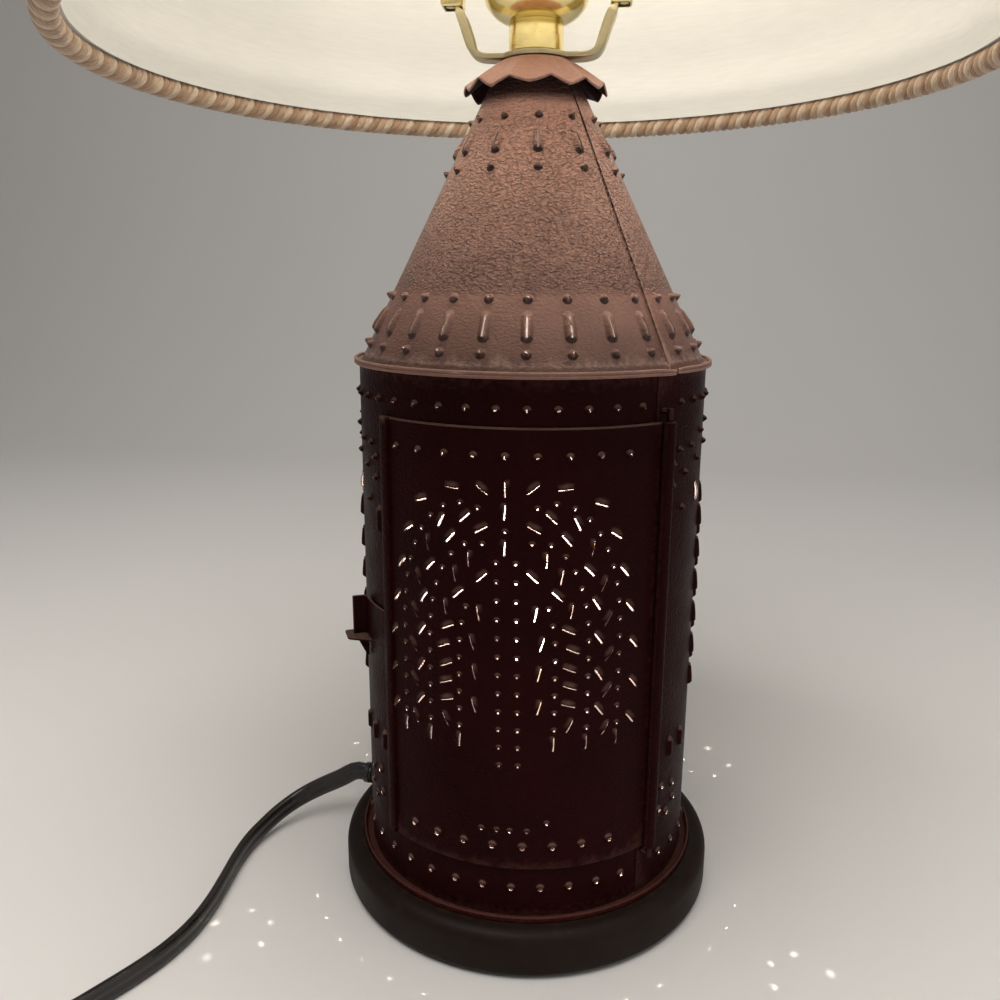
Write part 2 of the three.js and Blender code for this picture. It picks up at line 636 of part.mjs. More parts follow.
function buildLatch() {
  const bottom = HASP_MIDDLE - HASP_HEIGHT / 2;
  const overFold = doorOuter + FOLD_HEIGHT + CLEARANCE;
  const foldEnd = -DOOR_HALF_ANGLE + wallAngle(FOLD_WIDTH);
  const pastEdge = -DOOR_HALF_ANGLE - wallAngle(TIN + CLEARANCE);
  const lipAzimuth = -DOOR_HALF_ANGLE - HASP_ANGLE;
  const polar = ([azimuth, radius]) => around(azimuth, radius, 0).toArray().slice(0, 2);
  const bend = (from, to, radius) => [0, 0.25, 0.5, 0.75, 1].map((share) => [from + (to - from) * share, radius]);
  const under = [[foldEnd, overFold], [pastEdge, overFold], ...bend(pastEdge, lipAzimuth, doorInner)];
  const lip = [[lipAzimuth, doorInner + HASP_LIP], [lipAzimuth + wallAngle(TIN), doorInner + HASP_LIP]];
  const over = [
    ...bend(lipAzimuth + wallAngle(TIN), pastEdge - wallAngle(TIN), doorOuter),
    [pastEdge - wallAngle(TIN), overFold + TIN],
    [foldEnd, overFold + TIN],
  ];
  const strap = outlineShape([...under, ...lip, ...over].map(polar));
  piece('door_hasp', raised(strap, bottom, bottom + HASP_HEIGHT), TIN_PAINT);

  const shelf = bottom - CLEARANCE;
  const root = BODY_RADIUS + CLEARANCE;
  const triangle = [[root, shelf], [root + KEEPER_REACH, shelf], [root, shelf - KEEPER_DROP]];
  const bracket = outlineShape(triangle);
  const slope = TIN * Math.hypot(KEEPER_REACH, KEEPER_DROP);
  const hollowDrop = KEEPER_DROP - TIN - (slope + TIN * KEEPER_DROP) / KEEPER_REACH;
  const hollowReach = hollowDrop * KEEPER_REACH / KEEPER_DROP;
  const hollow = outlineShape([
    [root + TIN, shelf - TIN],
    [root + TIN + hollowReach, shelf - TIN],
    [root + TIN, shelf - TIN - hollowDrop],
  ]);
  bracket.holes.push(hollow);
  const holder = new THREE.Group();
  holder.rotation.z = THREE.MathUtils.degToRad(lipAzimuth);
  const gusset = raised(outlineShape(triangle), -TIN / 2, TIN / 2);
  const wedge = join(raised(bracket, -KEEPER_WIDTH / 2, KEEPER_WIDTH / 2), gusset);
  wedge.applyMatrix4(new THREE.Matrix4().makeBasis(
    new THREE.Vector3(0, -1, 0), new THREE.Vector3(0, 0, 1), new THREE.Vector3(-1, 0, 0)));
  piece('latch_keeper', wedge, TIN_PAINT, holder);
  lamp.add(holder);
}

function buildRoof() {
  const skin = turned([
    [BODY_RADIUS - TIN / 2, beadZ],
    [coneFootRadius, coneFoot],
    [CONE_TOP_RADIUS, coneTop],
    [CONE_TOP_RADIUS - TIN, coneTop],
    [coneFootRadius - TIN, coneFoot - TIN / 2],
    [BODY_RADIUS - 1.5 * TIN, beadZ - TIN],
  ], LARGE_ROUND);
  piece('cone_roof', join(skin, ring(BODY_RADIUS + CLEARANCE, BEAD_RADIUS, beadZ)), TIN_PAINT);

  const run = CAP_RIM_RADIUS - CAP_FLAT_RADIUS;
  const rings = [pipeHole, CAP_FLAT_RADIUS, CAP_FLAT_RADIUS + run / 2, CAP_RIM_RADIUS];
  const fall = (radius) => capSlope * Math.max(radius - CAP_FLAT_RADIUS, 0);
  const cap = turned([
    ...rings.map((radius) => [radius, capMiddle - TIN / 2 - fall(radius)]),
    ...rings.map((radius) => [radius, capMiddle + TIN / 2 - fall(radius)]).reverse(),
  ], PLEATS * PLEAT_STEPS);
  const position = cap.attributes.position;
  for (let vertex = 0; vertex < position.count; vertex += 1) {
    const x = position.getX(vertex);
    const y = position.getY(vertex);
    const reach = Math.max(Math.hypot(x, y) - CAP_FLAT_RADIUS, 0) / run;
    const wave = PLEAT_DEPTH * reach * Math.cos(PLEATS * Math.atan2(y, x));
    position.setZ(vertex, position.getZ(vertex) + wave);
  }
  piece('crimped_cap', cap, TIN_PAINT);

  const washerTop = capMiddle - TIN / 2 - CLEARANCE;
  const washerBottom = washerTop - WASHER_THICKNESS;
  const nutTop = washerBottom - CLEARANCE;
  piece('top_washer', pipe(pipeHole, WASHER_RADIUS, washerBottom, washerTop), STEEL);
  piece('top_locknut', nut(nutTop - NUT_HEIGHT, nutTop), STEEL);
  piece('top_nipple', pipe(PIPE_BORE, PIPE_RADIUS, nutTop - NUT_HEIGHT - PIPE_PAST_NUT, topPipeTop), STEEL);
}

function buildSaddle() {
  const shoulder = saddleBottom + SADDLE_RISE;
  const inner = SADDLE_REACH - SADDLE_THICKNESS;
  const right = new THREE.Shape();
  right.moveTo(0, saddleBottom);
  right.lineTo(SADDLE_FLAT - 3, saddleBottom);
  right.quadraticCurveTo(SADDLE_FLAT, saddleBottom, SADDLE_FLAT + 2.2, saddleBottom + 2);
  right.lineTo(SADDLE_REACH - 1, shoulder - 2);
  right.quadraticCurveTo(SADDLE_REACH, shoulder - 1, SADDLE_REACH, shoulder);
  right.lineTo(SADDLE_REACH, tabTop);
  right.lineTo(inner, tabTop);
  right.lineTo(inner, shoulder + 0.6);
  right.lineTo(inner - SADDLE_ARM_RIB, shoulder - 1.5);
  right.lineTo(SADDLE_FLAT - SADDLE_ARM_RIB, saddleTop + 2);
  right.quadraticCurveTo(SADDLE_FLAT - SADDLE_ARM_RIB - 0.8, saddleTop, SADDLE_FLAT - SADDLE_ARM_RIB - 3, saddleTop);
  right.lineTo(0, saddleTop);
  const half = right.getPoints(3).map(({ x, y }) => [x, y]);
  const mirrored = half.slice(1, -1).map(([x, y]) => [-x, y]).reverse();
  const strip = raised(outlineShape([...half, ...mirrored]), -SADDLE_WIDTH / 2, SADDLE_WIDTH / 2);
  strip.rotateX(Math.PI / 2);
  const sideCut = (SADDLE_WIDTH - TAB_WIDTH) / 2 + 1;
  const tabTrims = [1, -1].flatMap((x) => [1, -1].map((y) => {
    const trim = new THREE.BoxGeometry(4 * SADDLE_THICKNESS, sideCut, TAB_HEIGHT + 4);
    return trim.translate(x * SADDLE_REACH, y * (TAB_WIDTH + sideCut) / 2, shoulder + CLEARANCE + TAB_HEIGHT / 2 + 2);
  }));
  const hub = pipe(0, NECK_RADIUS + SADDLE_HUB_MARGIN, saddleBottom, saddleTop);
  const hole = pipe(0, pipeHole, saddleBottom - 1, saddleTop + 1, SMALL_ROUND);
  piece('harp_saddle', cut(join(strip, hub), hole, ...tabTrims), STEEL);
  piece('brass_neck', pipe(NECK_RADIUS - NECK_WALL, NECK_RADIUS, neckBottom, neckTop), BRASS);
}

function buildSocket() {
  const swell = socketBottom + SOCKET_CAP_SWELL;
  piece('socket_cap', turned([
    [pipeHole, socketBottom],
    [NECK_RADIUS, socketBottom],
    [socketCapOuter - 1.8, socketBottom + SOCKET_CAP_SWELL / 2],
    [socketCapOuter, swell],
    [socketCapOuter, socketCapTop],
    [socketCapInner, socketCapTop],
    [socketCapInner, swell],
    [socketCapInner - 1.8, socketBottom + SOCKET_CAP_SWELL / 2 + SOCKET_WALL],
    [NECK_RADIUS - SOCKET_WALL, socketBottom + SOCKET_WALL],
    [pipeHole, socketBottom + SOCKET_WALL],
  ]), BRASS);

  const knobZ = shellBottom + KNOB_RISE;
  const stemHole = () => bar(new THREE.Vector3(0, -BULB_SCREW_RADIUS / 2, knobZ), new THREE.Vector3(0, -KNOB_REACH, knobZ),
    KNOB_STEM_RADIUS + CLEARANCE, SMALL_ROUND);
  const interior = pipe(0, screwShellOuter, interiorBottom, interiorTop);
  piece('socket_interior', cut(interior, stemHole()), PHENOLIC);
  piece('screw_shell', pipe(screwShellInner, screwShellOuter, interiorTop + CLEARANCE, shellTop - 2), BRASS);
  piece('socket_liner', cut(pipe(linerInner, linerOuter, interiorBottom, shellTop - 1), stemHole()), CARD);
  piece('socket_shell', cut(pipe(shellInner, shellOuter, shellBottom, shellTop), stemHole()), BRASS);
  [['terminal_screw_brass', 1, BRASS], ['terminal_screw_steel', -1, STEEL]].forEach(([name, side, material]) => {
    const head = pipe(0, TERMINAL_RADIUS, terminalBottom, interiorBottom - CLEARANCE, SMALL_ROUND / 2);
    piece(name, head, material).position.x = side * TERMINAL_SPACING / 2;
  });

  const stemEnd = BULB_SCREW_RADIUS / 2 + CLEARANCE;
  const paddleStart = KNOB_REACH - KNOB_PADDLE_LENGTH;
  const stem = bar(new THREE.Vector3(0, -stemEnd, knobZ), new THREE.Vector3(0, -paddleStart - 1, knobZ), KNOB_STEM_RADIUS);
  const paddle = raised(ovalSection(KNOB_PADDLE_WIDTH / 2, KNOB_PADDLE_THICKNESS / 2, SMALL_ROUND), 0, KNOB_PADDLE_LENGTH);
  paddle.rotateX(Math.PI / 2).translate(0, -paddleStart, knobZ);
  piece('switch_knob', join(stem, paddle), PHENOLIC);
}

function buildMainBulb() {
  piece('main_bulb_cap', turned([
    [0, bulbScrewBottom],
    [BULB_SCREW_RADIUS / 3, bulbScrewBottom],
    [BULB_SCREW_RADIUS, bulbScrewBottom + BULB_SCREW_RADIUS / 2],
    [BULB_SCREW_RADIUS, bulbScrewTop],
    [0, bulbScrewTop],
  ]), STEEL);
  piece('main_bulb_glass', bulbGlass(bulbGlassBottom, BULB_NECK_RADIUS, BULB_RADIUS, BULB_HEIGHT, MEDIUM_ROUND), GLASS);
}

function buildHarp() {
  const rise = harpTop - legTop;
  const right = [
    [harpLegX, sleeveBottom + CLEARANCE],
    [harpLegX, sleeveBottom + SLEEVE_HEIGHT / 2],
    [harpLegX, sleeveBottom + SLEEVE_HEIGHT],
    [harpLegX, legTop],
    [harpLegX + 0.08 * (HARP_HALF_WIDTH - harpLegX), legTop + 0.05 * rise],
    [harpLegX + 0.55 * (HARP_HALF_WIDTH - harpLegX), legTop + 0.22 * rise],
    [0.97 * HARP_HALF_WIDTH, legTop + 0.42 * rise],
    [HARP_HALF_WIDTH, legTop + 0.58 * rise],
    [0.87 * HARP_HALF_WIDTH, legTop + 0.77 * rise],
    [0.6 * HARP_HALF_WIDTH, legTop + 0.91 * rise],
    [0.3 * HARP_HALF_WIDTH, legTop + 0.98 * rise],
  ];
  const left = right.map(([x, z]) => [-x, z]).reverse();
  const points = [...right, [0, harpTop], ...left].map(([x, z]) => new THREE.Vector3(x, 0, z));
  const section = ovalSection(HARP_WIRE_RADIUS, HARP_WIRE_RADIUS, WIRE_ROUND);
  piece('harp', swept(section, points, HARP_STEPS), BRASS);

  const insideLeft = SADDLE_REACH - SADDLE_THICKNESS - CLEARANCE;
  const insideRight = harpLegX + HARP_WIRE_RADIUS + CLEARANCE;
  const halfX = (insideRight - insideLeft) / 2;
  const halfY = Math.max(TAB_WIDTH / 2, HARP_WIRE_RADIUS) + CLEARANCE;
  const box = (grow) => [[-1, -1], [1, -1], [1, 1], [-1, 1]].map(([x, y]) => [x * (halfX + grow), y * (halfY + grow)]);
  const collar = outlineShape(box(SLEEVE_WALL));
  collar.holes.push(outlineShape(box(0)));
  [['harp_sleeve_left', -1], ['harp_sleeve_right', 1]].forEach(([name, side]) => {
    const sleeve = piece(name, raised(collar, 0, SLEEVE_HEIGHT), BRASS);
    sleeve.position.set(side * (insideLeft + halfX), 0, sleeveBottom);
  });

  piece('harp_stud', turned([
    [0, studSeat],
    [STUD_SEAT_RADIUS, studSeat],
    [STUD_SEAT_RADIUS, studSeat + STUD_SEAT_HEIGHT],
    [STUD_RADIUS, studSeat + STUD_SEAT_HEIGHT],
    [STUD_RADIUS, studTop],
    [0, studTop],
  ], SMALL_ROUND), BRASS);

  const bore = STUD_RADIUS + CLEARANCE;
  const knob = finialBottom + FINIAL_HEIGHT - FINIAL_RADIUS;
  const ball = [-50, -15, 20, 55].map((angle) => {
    const turn = THREE.MathUtils.degToRad(angle);
    return [FINIAL_RADIUS * Math.cos(turn), knob + FINIAL_RADIUS * Math.sin(turn)];
  });
  piece('finial', turned([
    [bore, finialBottom],
    [FINIAL_RADIUS, finialBottom],
    [FINIAL_RADIUS, finialBottom + 2.5],
    [bore + 1.4, finialBottom + 5],
    [bore + 1.4, knob - FINIAL_RADIUS],
    ...ball,
    [0, knob + FINIAL_RADIUS],
    [0, studTop + CLEARANCE],
    [bore, studTop + CLEARANCE],
  ], SMALL_ROUND), BRASS);
}

// Outside radius of the shade's panel at a height
function shadeRadius(z) {
  return THREE.MathUtils.mapLinear(z, shadeBottom, shadeTop, SHADE_BOTTOM_RADIUS, SHADE_TOP_RADIUS);
}

function buildShade() {
  piece('shade_panel', turned([
    [SHADE_BOTTOM_RADIUS - SHADE_WALL, shadeBottom],
    [SHADE_BOTTOM_RADIUS, shadeBottom],
    [SHADE_TOP_RADIUS, shadeTop],
    [SHADE_TOP_RADIUS - SHADE_WALL, shadeTop],
  ], LARGE_ROUND), LINEN);

  const slant = Math.hypot(1, (SHADE_BOTTOM_RADIUS - SHADE_TOP_RADIUS) / SHADE_HEIGHT);
  const wireInset = SHADE_WALL + (CLEARANCE + SHADE_WIRE_RADIUS) * slant;
  const lowRing = shadeBottom + SHADE_RING_INSET;
  const highRing = shadeTop - SHADE_RING_INSET;
  piece('shade_bottom_ring', ring(shadeRadius(lowRing) - wireInset, SHADE_WIRE_RADIUS, lowRing), STEEL);

  const highRadius = shadeRadius(highRing) - wireInset;
  const armZ = spiderSeat + SPIDER_WASHER_THICKNESS - SHADE_WIRE_RADIUS;
  const washer = pipe(STUD_RADIUS + CLEARANCE, SPIDER_WASHER_RADIUS, spiderSeat, spiderSeat + SPIDER_WASHER_THICKNESS);
  const arms = Array.from({ length: SPIDER_ARMS }, (_, arm) => {
    const azimuth = 360 * arm / SPIDER_ARMS;
    const hub = around(azimuth, SPIDER_WASHER_RADIUS - 2, armZ);
    return bar(hub, around(azimuth, highRadius, highRing), SHADE_WIRE_RADIUS, SMALL_ROUND / 2);
  });
  const hubHole = pipe(0, STUD_SEAT_RADIUS, spiderSeat - 9, spiderSeat, SMALL_ROUND);
  piece('shade_spider', cut(join(ring(highRadius, SHADE_WIRE_RADIUS, highRing), washer, ...arms), hubHole), STEEL);

  piece('shade_trim_bottom', ring(SHADE_BOTTOM_RADIUS - SHADE_WALL / 2, ROPE_RADIUS_BOTTOM,
    shadeBottom - CLEARANCE - ROPE_RADIUS_BOTTOM), ROPE);
  piece('shade_trim_top', ring(SHADE_TOP_RADIUS - SHADE_WALL / 2, ROPE_RADIUS_TOP,
    shadeTop + CLEARANCE + ROPE_RADIUS_TOP), ROPE);
}

function buildBushingAndLeads() {
  const wallOut = BODY_RADIUS + CLEARANCE;
  const flangeRadius = BUSHING_RADIUS + BUSHING_FLANGE;
  const sag = flangeRadius ** 2 / (2 * BODY_RADIUS);
  const wallIn = bodyInner - CLEARANCE - sag;
  const tail = bodyInner - BUSHING_TAIL;
  const bushing = turned([
    [0, tail],
    [BUSHING_TIP_RADIUS, tail],
    [flangeRadius, wallIn - BUSHING_FLANGE],
    [flangeRadius, wallIn],
    [BUSHING_RADIUS, wallIn],
    [BUSHING_RADIUS, wallOut],
    [flangeRadius, wallOut],
    [flangeRadius, wallOut + BUSHING_FLANGE],
    [BUSHING_RADIUS, wallOut + BUSHING_FLANGE],
    [BUSHING_TIP_RADIUS, bushingTip],
    [0, bushingTip],
  ], SMALL_ROUND);
  bushing.applyMatrix4(wallFrame(EXIT_AZIMUTH)).translate(0, 0, exitZ);
  piece('cord_bushing', bushing, CORD);

  const leadSection = ovalSection(LEAD_RADIUS, LEAD_RADIUS, WIRE_ROUND);
  const split = LEAD_RADIUS + CLEARANCE;
  const start = tail - CLEARANCE;
  const candleSide = CANDLE_RADIUS - CANDLE_WALL;
  const sag1 = exitZ - 5;
  piece('night_lead', swept(leadSection, [
    around(EXIT_AZIMUTH, start, exitZ - split),
    around(EXIT_AZIMUTH, start - 5, exitZ - split - 0.6),
    around(EXIT_AZIMUTH, (start + candleSide) / 2, sag1),
    around(EXIT_AZIMUTH, candleSide + 7, exitZ - 0.4),
    around(EXIT_AZIMUTH, candleSide + 3, exitZ),
    around(EXIT_AZIMUTH, candleSide, exitZ),
  ], 14), CORD);

  const wallRun = bodyInner - LEAD_RADIUS - 2;
  const upAzimuth = EXIT_AZIMUTH - 16;
  piece('riser_lead', swept(leadSection, [
    around(EXIT_AZIMUTH, start, exitZ + split),
    around(EXIT_AZIMUTH, start - 3, exitZ + split),
    around(EXIT_AZIMUTH - 5, start - 5, exitZ + split + 4),
    around(EXIT_AZIMUTH - 11, start - 2, exitZ + split + 12),
    around(upAzimuth, wallRun, exitZ + 28),
    around(upAzimuth, wallRun, (exitZ + bodyTop) / 2),
    around(upAzimuth, wallRun, bodyTop - 26),
    around(upAzimuth, wallRun - 6, bodyTop),
    around(upAzimuth, coneFootRadius / 2, beadZ + CONE_HEIGHT * 0.38),
    around(upAzimuth, PIPE_RADIUS, coneTop - 22),
    around(upAzimuth, 0, coneTop - 10),
    around(upAzimuth, 0, coneTop + 4),
    around(upAzimuth, 0, topPipeTop - CLEARANCE),
  ], 34), CORD);
}

// Centre line of the wound cord: spirals in on the table, climbs a layer, spirals out, then runs to the plug.
function coilLine() {
  const low = COIL_LIFT + CORD_WIDTH / 2;
  const high = low + CORD_WIDTH + COIL_LAYER_GAP;
  const plugZ = PLUG_THICKNESS / 2;
  const total = COIL_TURNS * 2 * Math.PI;
  const middle = total / 2;
  const steps = Math.round(COIL_TURNS * COIL_STEPS_PER_TURN);
  const start = THREE.MathUtils.degToRad(COIL_START);
  const line = [];
  for (let step = 0; step <= steps; step += 1) {
    const turn = total * step / steps;
    const off = turn - middle;
    const dip = Math.abs(off) < Math.PI ? COIL_CLIMB_DIP * Math.cos(off / 2) ** 2 : 0;
    const radius = COIL_INNER + (COIL_OUTER - COIL_INNER) * Math.abs(off) / middle - dip;
    const climb = THREE.MathUtils.smoothstep(off, -Math.PI / 2, Math.PI / 2);
    const x = COIL_CENTRE[0] + radius * Math.cos(start + turn);
    const y = COIL_CENTRE[1] + radius * Math.sin(start + turn);
    line.push({ point: new THREE.Vector3(x, y, THREE.MathUtils.lerp(low, high, climb)), roll: 0 });
  }
  const heading = (from, to) => line[to].point.clone().sub(line[from].point).setZ(0).normalize();
  const lead = heading(0, 1);
  const first = line[0].point.clone().addScaledVector(lead, -COIL_LEAD_IN);
  const out = heading(steps - 1, steps);
  const last = line[steps].point.clone();
  const rampSteps = 6;
  for (let step = 0; step <= rampSteps; step += 1) {
    const share = step / rampSteps;
    const point = last.clone().addScaledVector(out, TAIL_LEVEL + share * TAIL_RAMP);
    point.z = THREE.MathUtils.lerp(high, plugZ, THREE.MathUtils.smoothstep(share, 0, 1));
    line.push({ point, roll: THREE.MathUtils.smoothstep(share, 0, 1) * Math.PI / 2 });
  }
  const end = last.clone().addScaledVector(out, TAIL_LEVEL + TAIL_RAMP + CORD_WIDTH).setZ(plugZ);
  return { line: [{ point: first, roll: 0 }, ...line, { point: end, roll: Math.PI / 2 }], lead, out, end };
}

// The least gap between two turns of the wound cord, on its points: cords that stand on edge side by side
function leastCoilGap(line) {
  let least = Infinity;
  const apart = COIL_STEPS_PER_TURN / 2;
  for (let a = 0; a < line.length; a += 1) {
    for (let b = a + apart; b < line.length; b += 1) {
      const between = line[b].point.clone().sub(line[a].point);
      const flat = Math.max(Math.sin(line[a].roll), Math.sin(line[b].roll));
      const wide = THREE.MathUtils.lerp(CORD_THICKNESS, CORD_WIDTH, flat);
      const beside = Math.max(Math.hypot(between.x, between.y) - wide, 0);
      const above = Math.max(Math.abs(between.z) - CORD_WIDTH, 0);
      least = Math.min(least, Math.hypot(beside, above));
    }
  }
  return least;
}

// One unbroken tube of the flat cord's section along the wound line, with flat ends
function coilTube(line) {
  const halfWide = CORD_WIDTH / 2;
  const halfThick = CORD_THICKNESS / 2;
  const section = [[0, 1], [1, 0.55], [1, -0.55], [0, -1], [-1, -0.55], [-1, 0.55]];
  const corners = [];
  line.forEach(({ point, roll }, place) => {
    const ahead = line[Math.min(place + 1, line.length - 1)].point;
    const behind = line[Math.max(place - 1, 0)].point;
    const along = ahead.clone().sub(behind).normalize();
    const across = new THREE.Vector3().crossVectors(along, new THREE.Vector3(0, 0, 1)).normalize();
    across.applyAxisAngle(along, roll);
    const upright = new THREE.Vector3().crossVectors(across, along);
    section.forEach(([x, y]) => {
      const corner = point.clone().addScaledVector(across, x * halfThick).addScaledVector(upright, y * halfWide);
      corners.push(...corner.toArray());
    });
  });
  const sides = section.length;
  const faces = [];
  for (let place = 0; place < line.length - 1; place += 1) {
    for (let side = 0; side < sides; side += 1) {
      const a = place * sides + side;
      const b = place * sides + (side + 1) % sides;
      faces.push(a, b, a + sides, b, b + sides, a + sides);
    }
  }
  const lastRing = (line.length - 1) * sides;
  for (let side = 1; side < sides - 1; side += 1) {
    faces.push(0, side + 1, side, lastRing, lastRing + side, lastRing + side + 1);
  }
  const geometry = new THREE.BufferGeometry();
  geometry.setAttribute('position', new THREE.Float32BufferAttribute(corners, 3));
  geometry.setIndex(faces);
  return closedSkin(geometry);
}

function buildCord() {
  const { line, lead, out, end } = coilLine();
  const flat = ovalSection(CORD_WIDTH / 2, CORD_THICKNESS / 2, CORD_SIDES);
  const start = bushingTip + CLEARANCE;
  const route = [
    around(EXIT_AZIMUTH, start, exitZ),
    around(EXIT_AZIMUTH, start + CORD_THICKNESS, exitZ),
    ...CORD_ROUTE.map((place) => new THREE.Vector3(...place)),
    line[0].point.clone().addScaledVector(lead, -CLEARANCE - CORD_WIDTH),
    line[0].point.clone().addScaledVector(lead, -CLEARANCE),
  ];
  piece('cord', swept(flat, route, CORD_STEPS), CORD);
  console.log(`least gap between the coil's turns ${leastCoilGap(line).toFixed(2)} mm`);
  piece('cord_coil', coilTube(line), CORD);

  const bundleBottom = COIL_LIFT;
  const bundleTop = COIL_LIFT + 2 * CORD_WIDTH + COIL_LAYER_GAP;
  const bundleInner = COIL_INNER - COIL_CLIMB_DIP - CORD_THICKNESS / 2;
  const bundleOuter = COIL_OUTER + CORD_THICKNESS / 2;
  const loop = (grow) => outlineShape([
    [bundleInner - grow, bundleBottom - grow],
    [bundleOuter + grow, bundleBottom - grow],
    [bundleOuter + grow, bundleTop + grow],
    [bundleInner - grow, bundleTop + grow],
  ]);
  const slack = COIL_LIFT - TIE_THICKNESS;
  const strap = loop(slack + TIE_THICKNESS);
  strap.holes.push(loop(slack));
  const tie = piece('coil_tie', raised(strap, -TIE_WIDTH / 2, TIE_WIDTH / 2).rotateX(Math.PI / 2), CARD);
  tie.position.set(COIL_CENTRE[0], COIL_CENTRE[1], 0);
  tie.rotation.z = THREE.MathUtils.degToRad(TIE_AZIMUTH);

  const holder = new THREE.Group();
  holder.position.copy(end).addScaledVector(out, CLEARANCE);
  holder.rotation.z = Math.atan2(out.y, out.x);
  const halfNeck = (CORD_WIDTH + 3) / 2;
  const plan = outlineShape([
    [0, -halfNeck],
    [PLUG_NECK_LENGTH, -PLUG_WIDTH / 2],
    [PLUG_LENGTH, -PLUG_WIDTH / 2],
    [PLUG_LENGTH, PLUG_WIDTH / 2],
    [PLUG_NECK_LENGTH, PLUG_WIDTH / 2],
    [0, halfNeck],
  ]);
  piece('plug_body', raised(plan, -PLUG_THICKNESS / 2, PLUG_THICKNESS / 2), CORD, holder);
  [1, 2].forEach((number) => {
    const blade = new THREE.BoxGeometry(BLADE_LENGTH, BLADE_THICKNESS, BLADE_HEIGHT);
    const mesh = piece(`plug_blade_${number}`, closedSkin(blade), BRASS, holder);
    mesh.position.x = PLUG_LENGTH + CLEARANCE + BLADE_LENGTH / 2;
    mesh.position.y = (number === 1 ? 1 : -1) * BLADE_SPACING / 2;
  });
  lamp.add(holder);
}

buildBase();
buildPan();
buildNightLight();
buildBody();
buildHingeWire();
buildDoor();
buildLatch();
buildRoof();
buildSaddle();
buildSocket();
buildMainBulb();
buildHarp();
buildShade();
buildBushingAndLeads();
buildCord();

export default lamp;
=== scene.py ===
"""Visual model of a table lamp: a punched tin lantern under a lined shade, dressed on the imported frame.

Lengths in the classes are millimetres in the frame of the part: +Z up, the lantern door faces -Y. An azimuth is an
angle in degrees about the lamp's axis, 0 at the middle of the door and growing towards +X.
"""

from __future__ import annotations

import logging
import math
from collections.abc import Callable, Sequence
from dataclasses import dataclass, field
from enum import Enum

import bmesh
import bpy
import numpy as np
from mathutils import Matrix, Vector
from mathutils.geometry import delaunay_2d_cdt

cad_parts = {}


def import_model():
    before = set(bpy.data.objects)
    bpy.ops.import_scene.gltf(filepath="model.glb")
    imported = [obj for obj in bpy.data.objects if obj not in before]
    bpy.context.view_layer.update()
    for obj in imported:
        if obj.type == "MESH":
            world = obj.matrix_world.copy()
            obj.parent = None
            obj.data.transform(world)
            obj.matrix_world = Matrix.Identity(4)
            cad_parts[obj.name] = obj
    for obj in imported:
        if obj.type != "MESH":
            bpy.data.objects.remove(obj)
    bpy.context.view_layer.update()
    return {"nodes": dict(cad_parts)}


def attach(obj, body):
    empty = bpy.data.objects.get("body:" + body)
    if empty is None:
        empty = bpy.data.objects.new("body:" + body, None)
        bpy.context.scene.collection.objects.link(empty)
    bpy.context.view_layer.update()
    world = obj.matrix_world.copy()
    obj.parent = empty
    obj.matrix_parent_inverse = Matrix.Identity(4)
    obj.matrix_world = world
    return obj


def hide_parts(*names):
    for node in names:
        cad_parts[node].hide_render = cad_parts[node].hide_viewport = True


MM = 0.001
TIN = 0.8
BODY_OUTSIDE = 57.7
SAME_PLACE = 1e-6
HARD_EDGE = 35.0
CORD_EXIT_AZIMUTH = -99.0
CORD_EXIT_Z = 24.0

log = logging.getLogger("table_lamp")

Colour = tuple[float, float, float]
Pair = tuple[float, float]
Triple = tuple[float, float, float]
Material = bpy.types.Material
Node = bpy.types.Node
Output = bpy.types.NodeSocket
Piece = bpy.types.Object


def around(azimuth: float, radius: float, z: float) -> np.ndarray:
    """A point at an azimuth in degrees, a distance from the axis and a height."""
    angle = math.radians(azimuth)
    return np.array([radius * math.sin(angle), -radius * math.cos(angle), z])


def turn_from(origin: float, azimuth: float) -> float:
    """The turn in degrees from one azimuth to another, within half a turn either way."""
    return (azimuth - origin + 180.0) % 360.0 - 180.0


def smoothstep(low: float, high: float, value: np.ndarray | float) -> np.ndarray:
    """A smooth rise from 0 at low to 1 at high."""
    share = np.clip((np.asarray(value, dtype=float) - low) / (high - low), 0.0, 1.0)
    return share * share * (3.0 - 2.0 * share)


def travelled(path: np.ndarray) -> np.ndarray:
    """Length of the way along a path to each of its points."""
    return np.concatenate([[0.0], np.cumsum(np.linalg.norm(np.diff(path, axis=0), axis=1))])


# Mesh tools


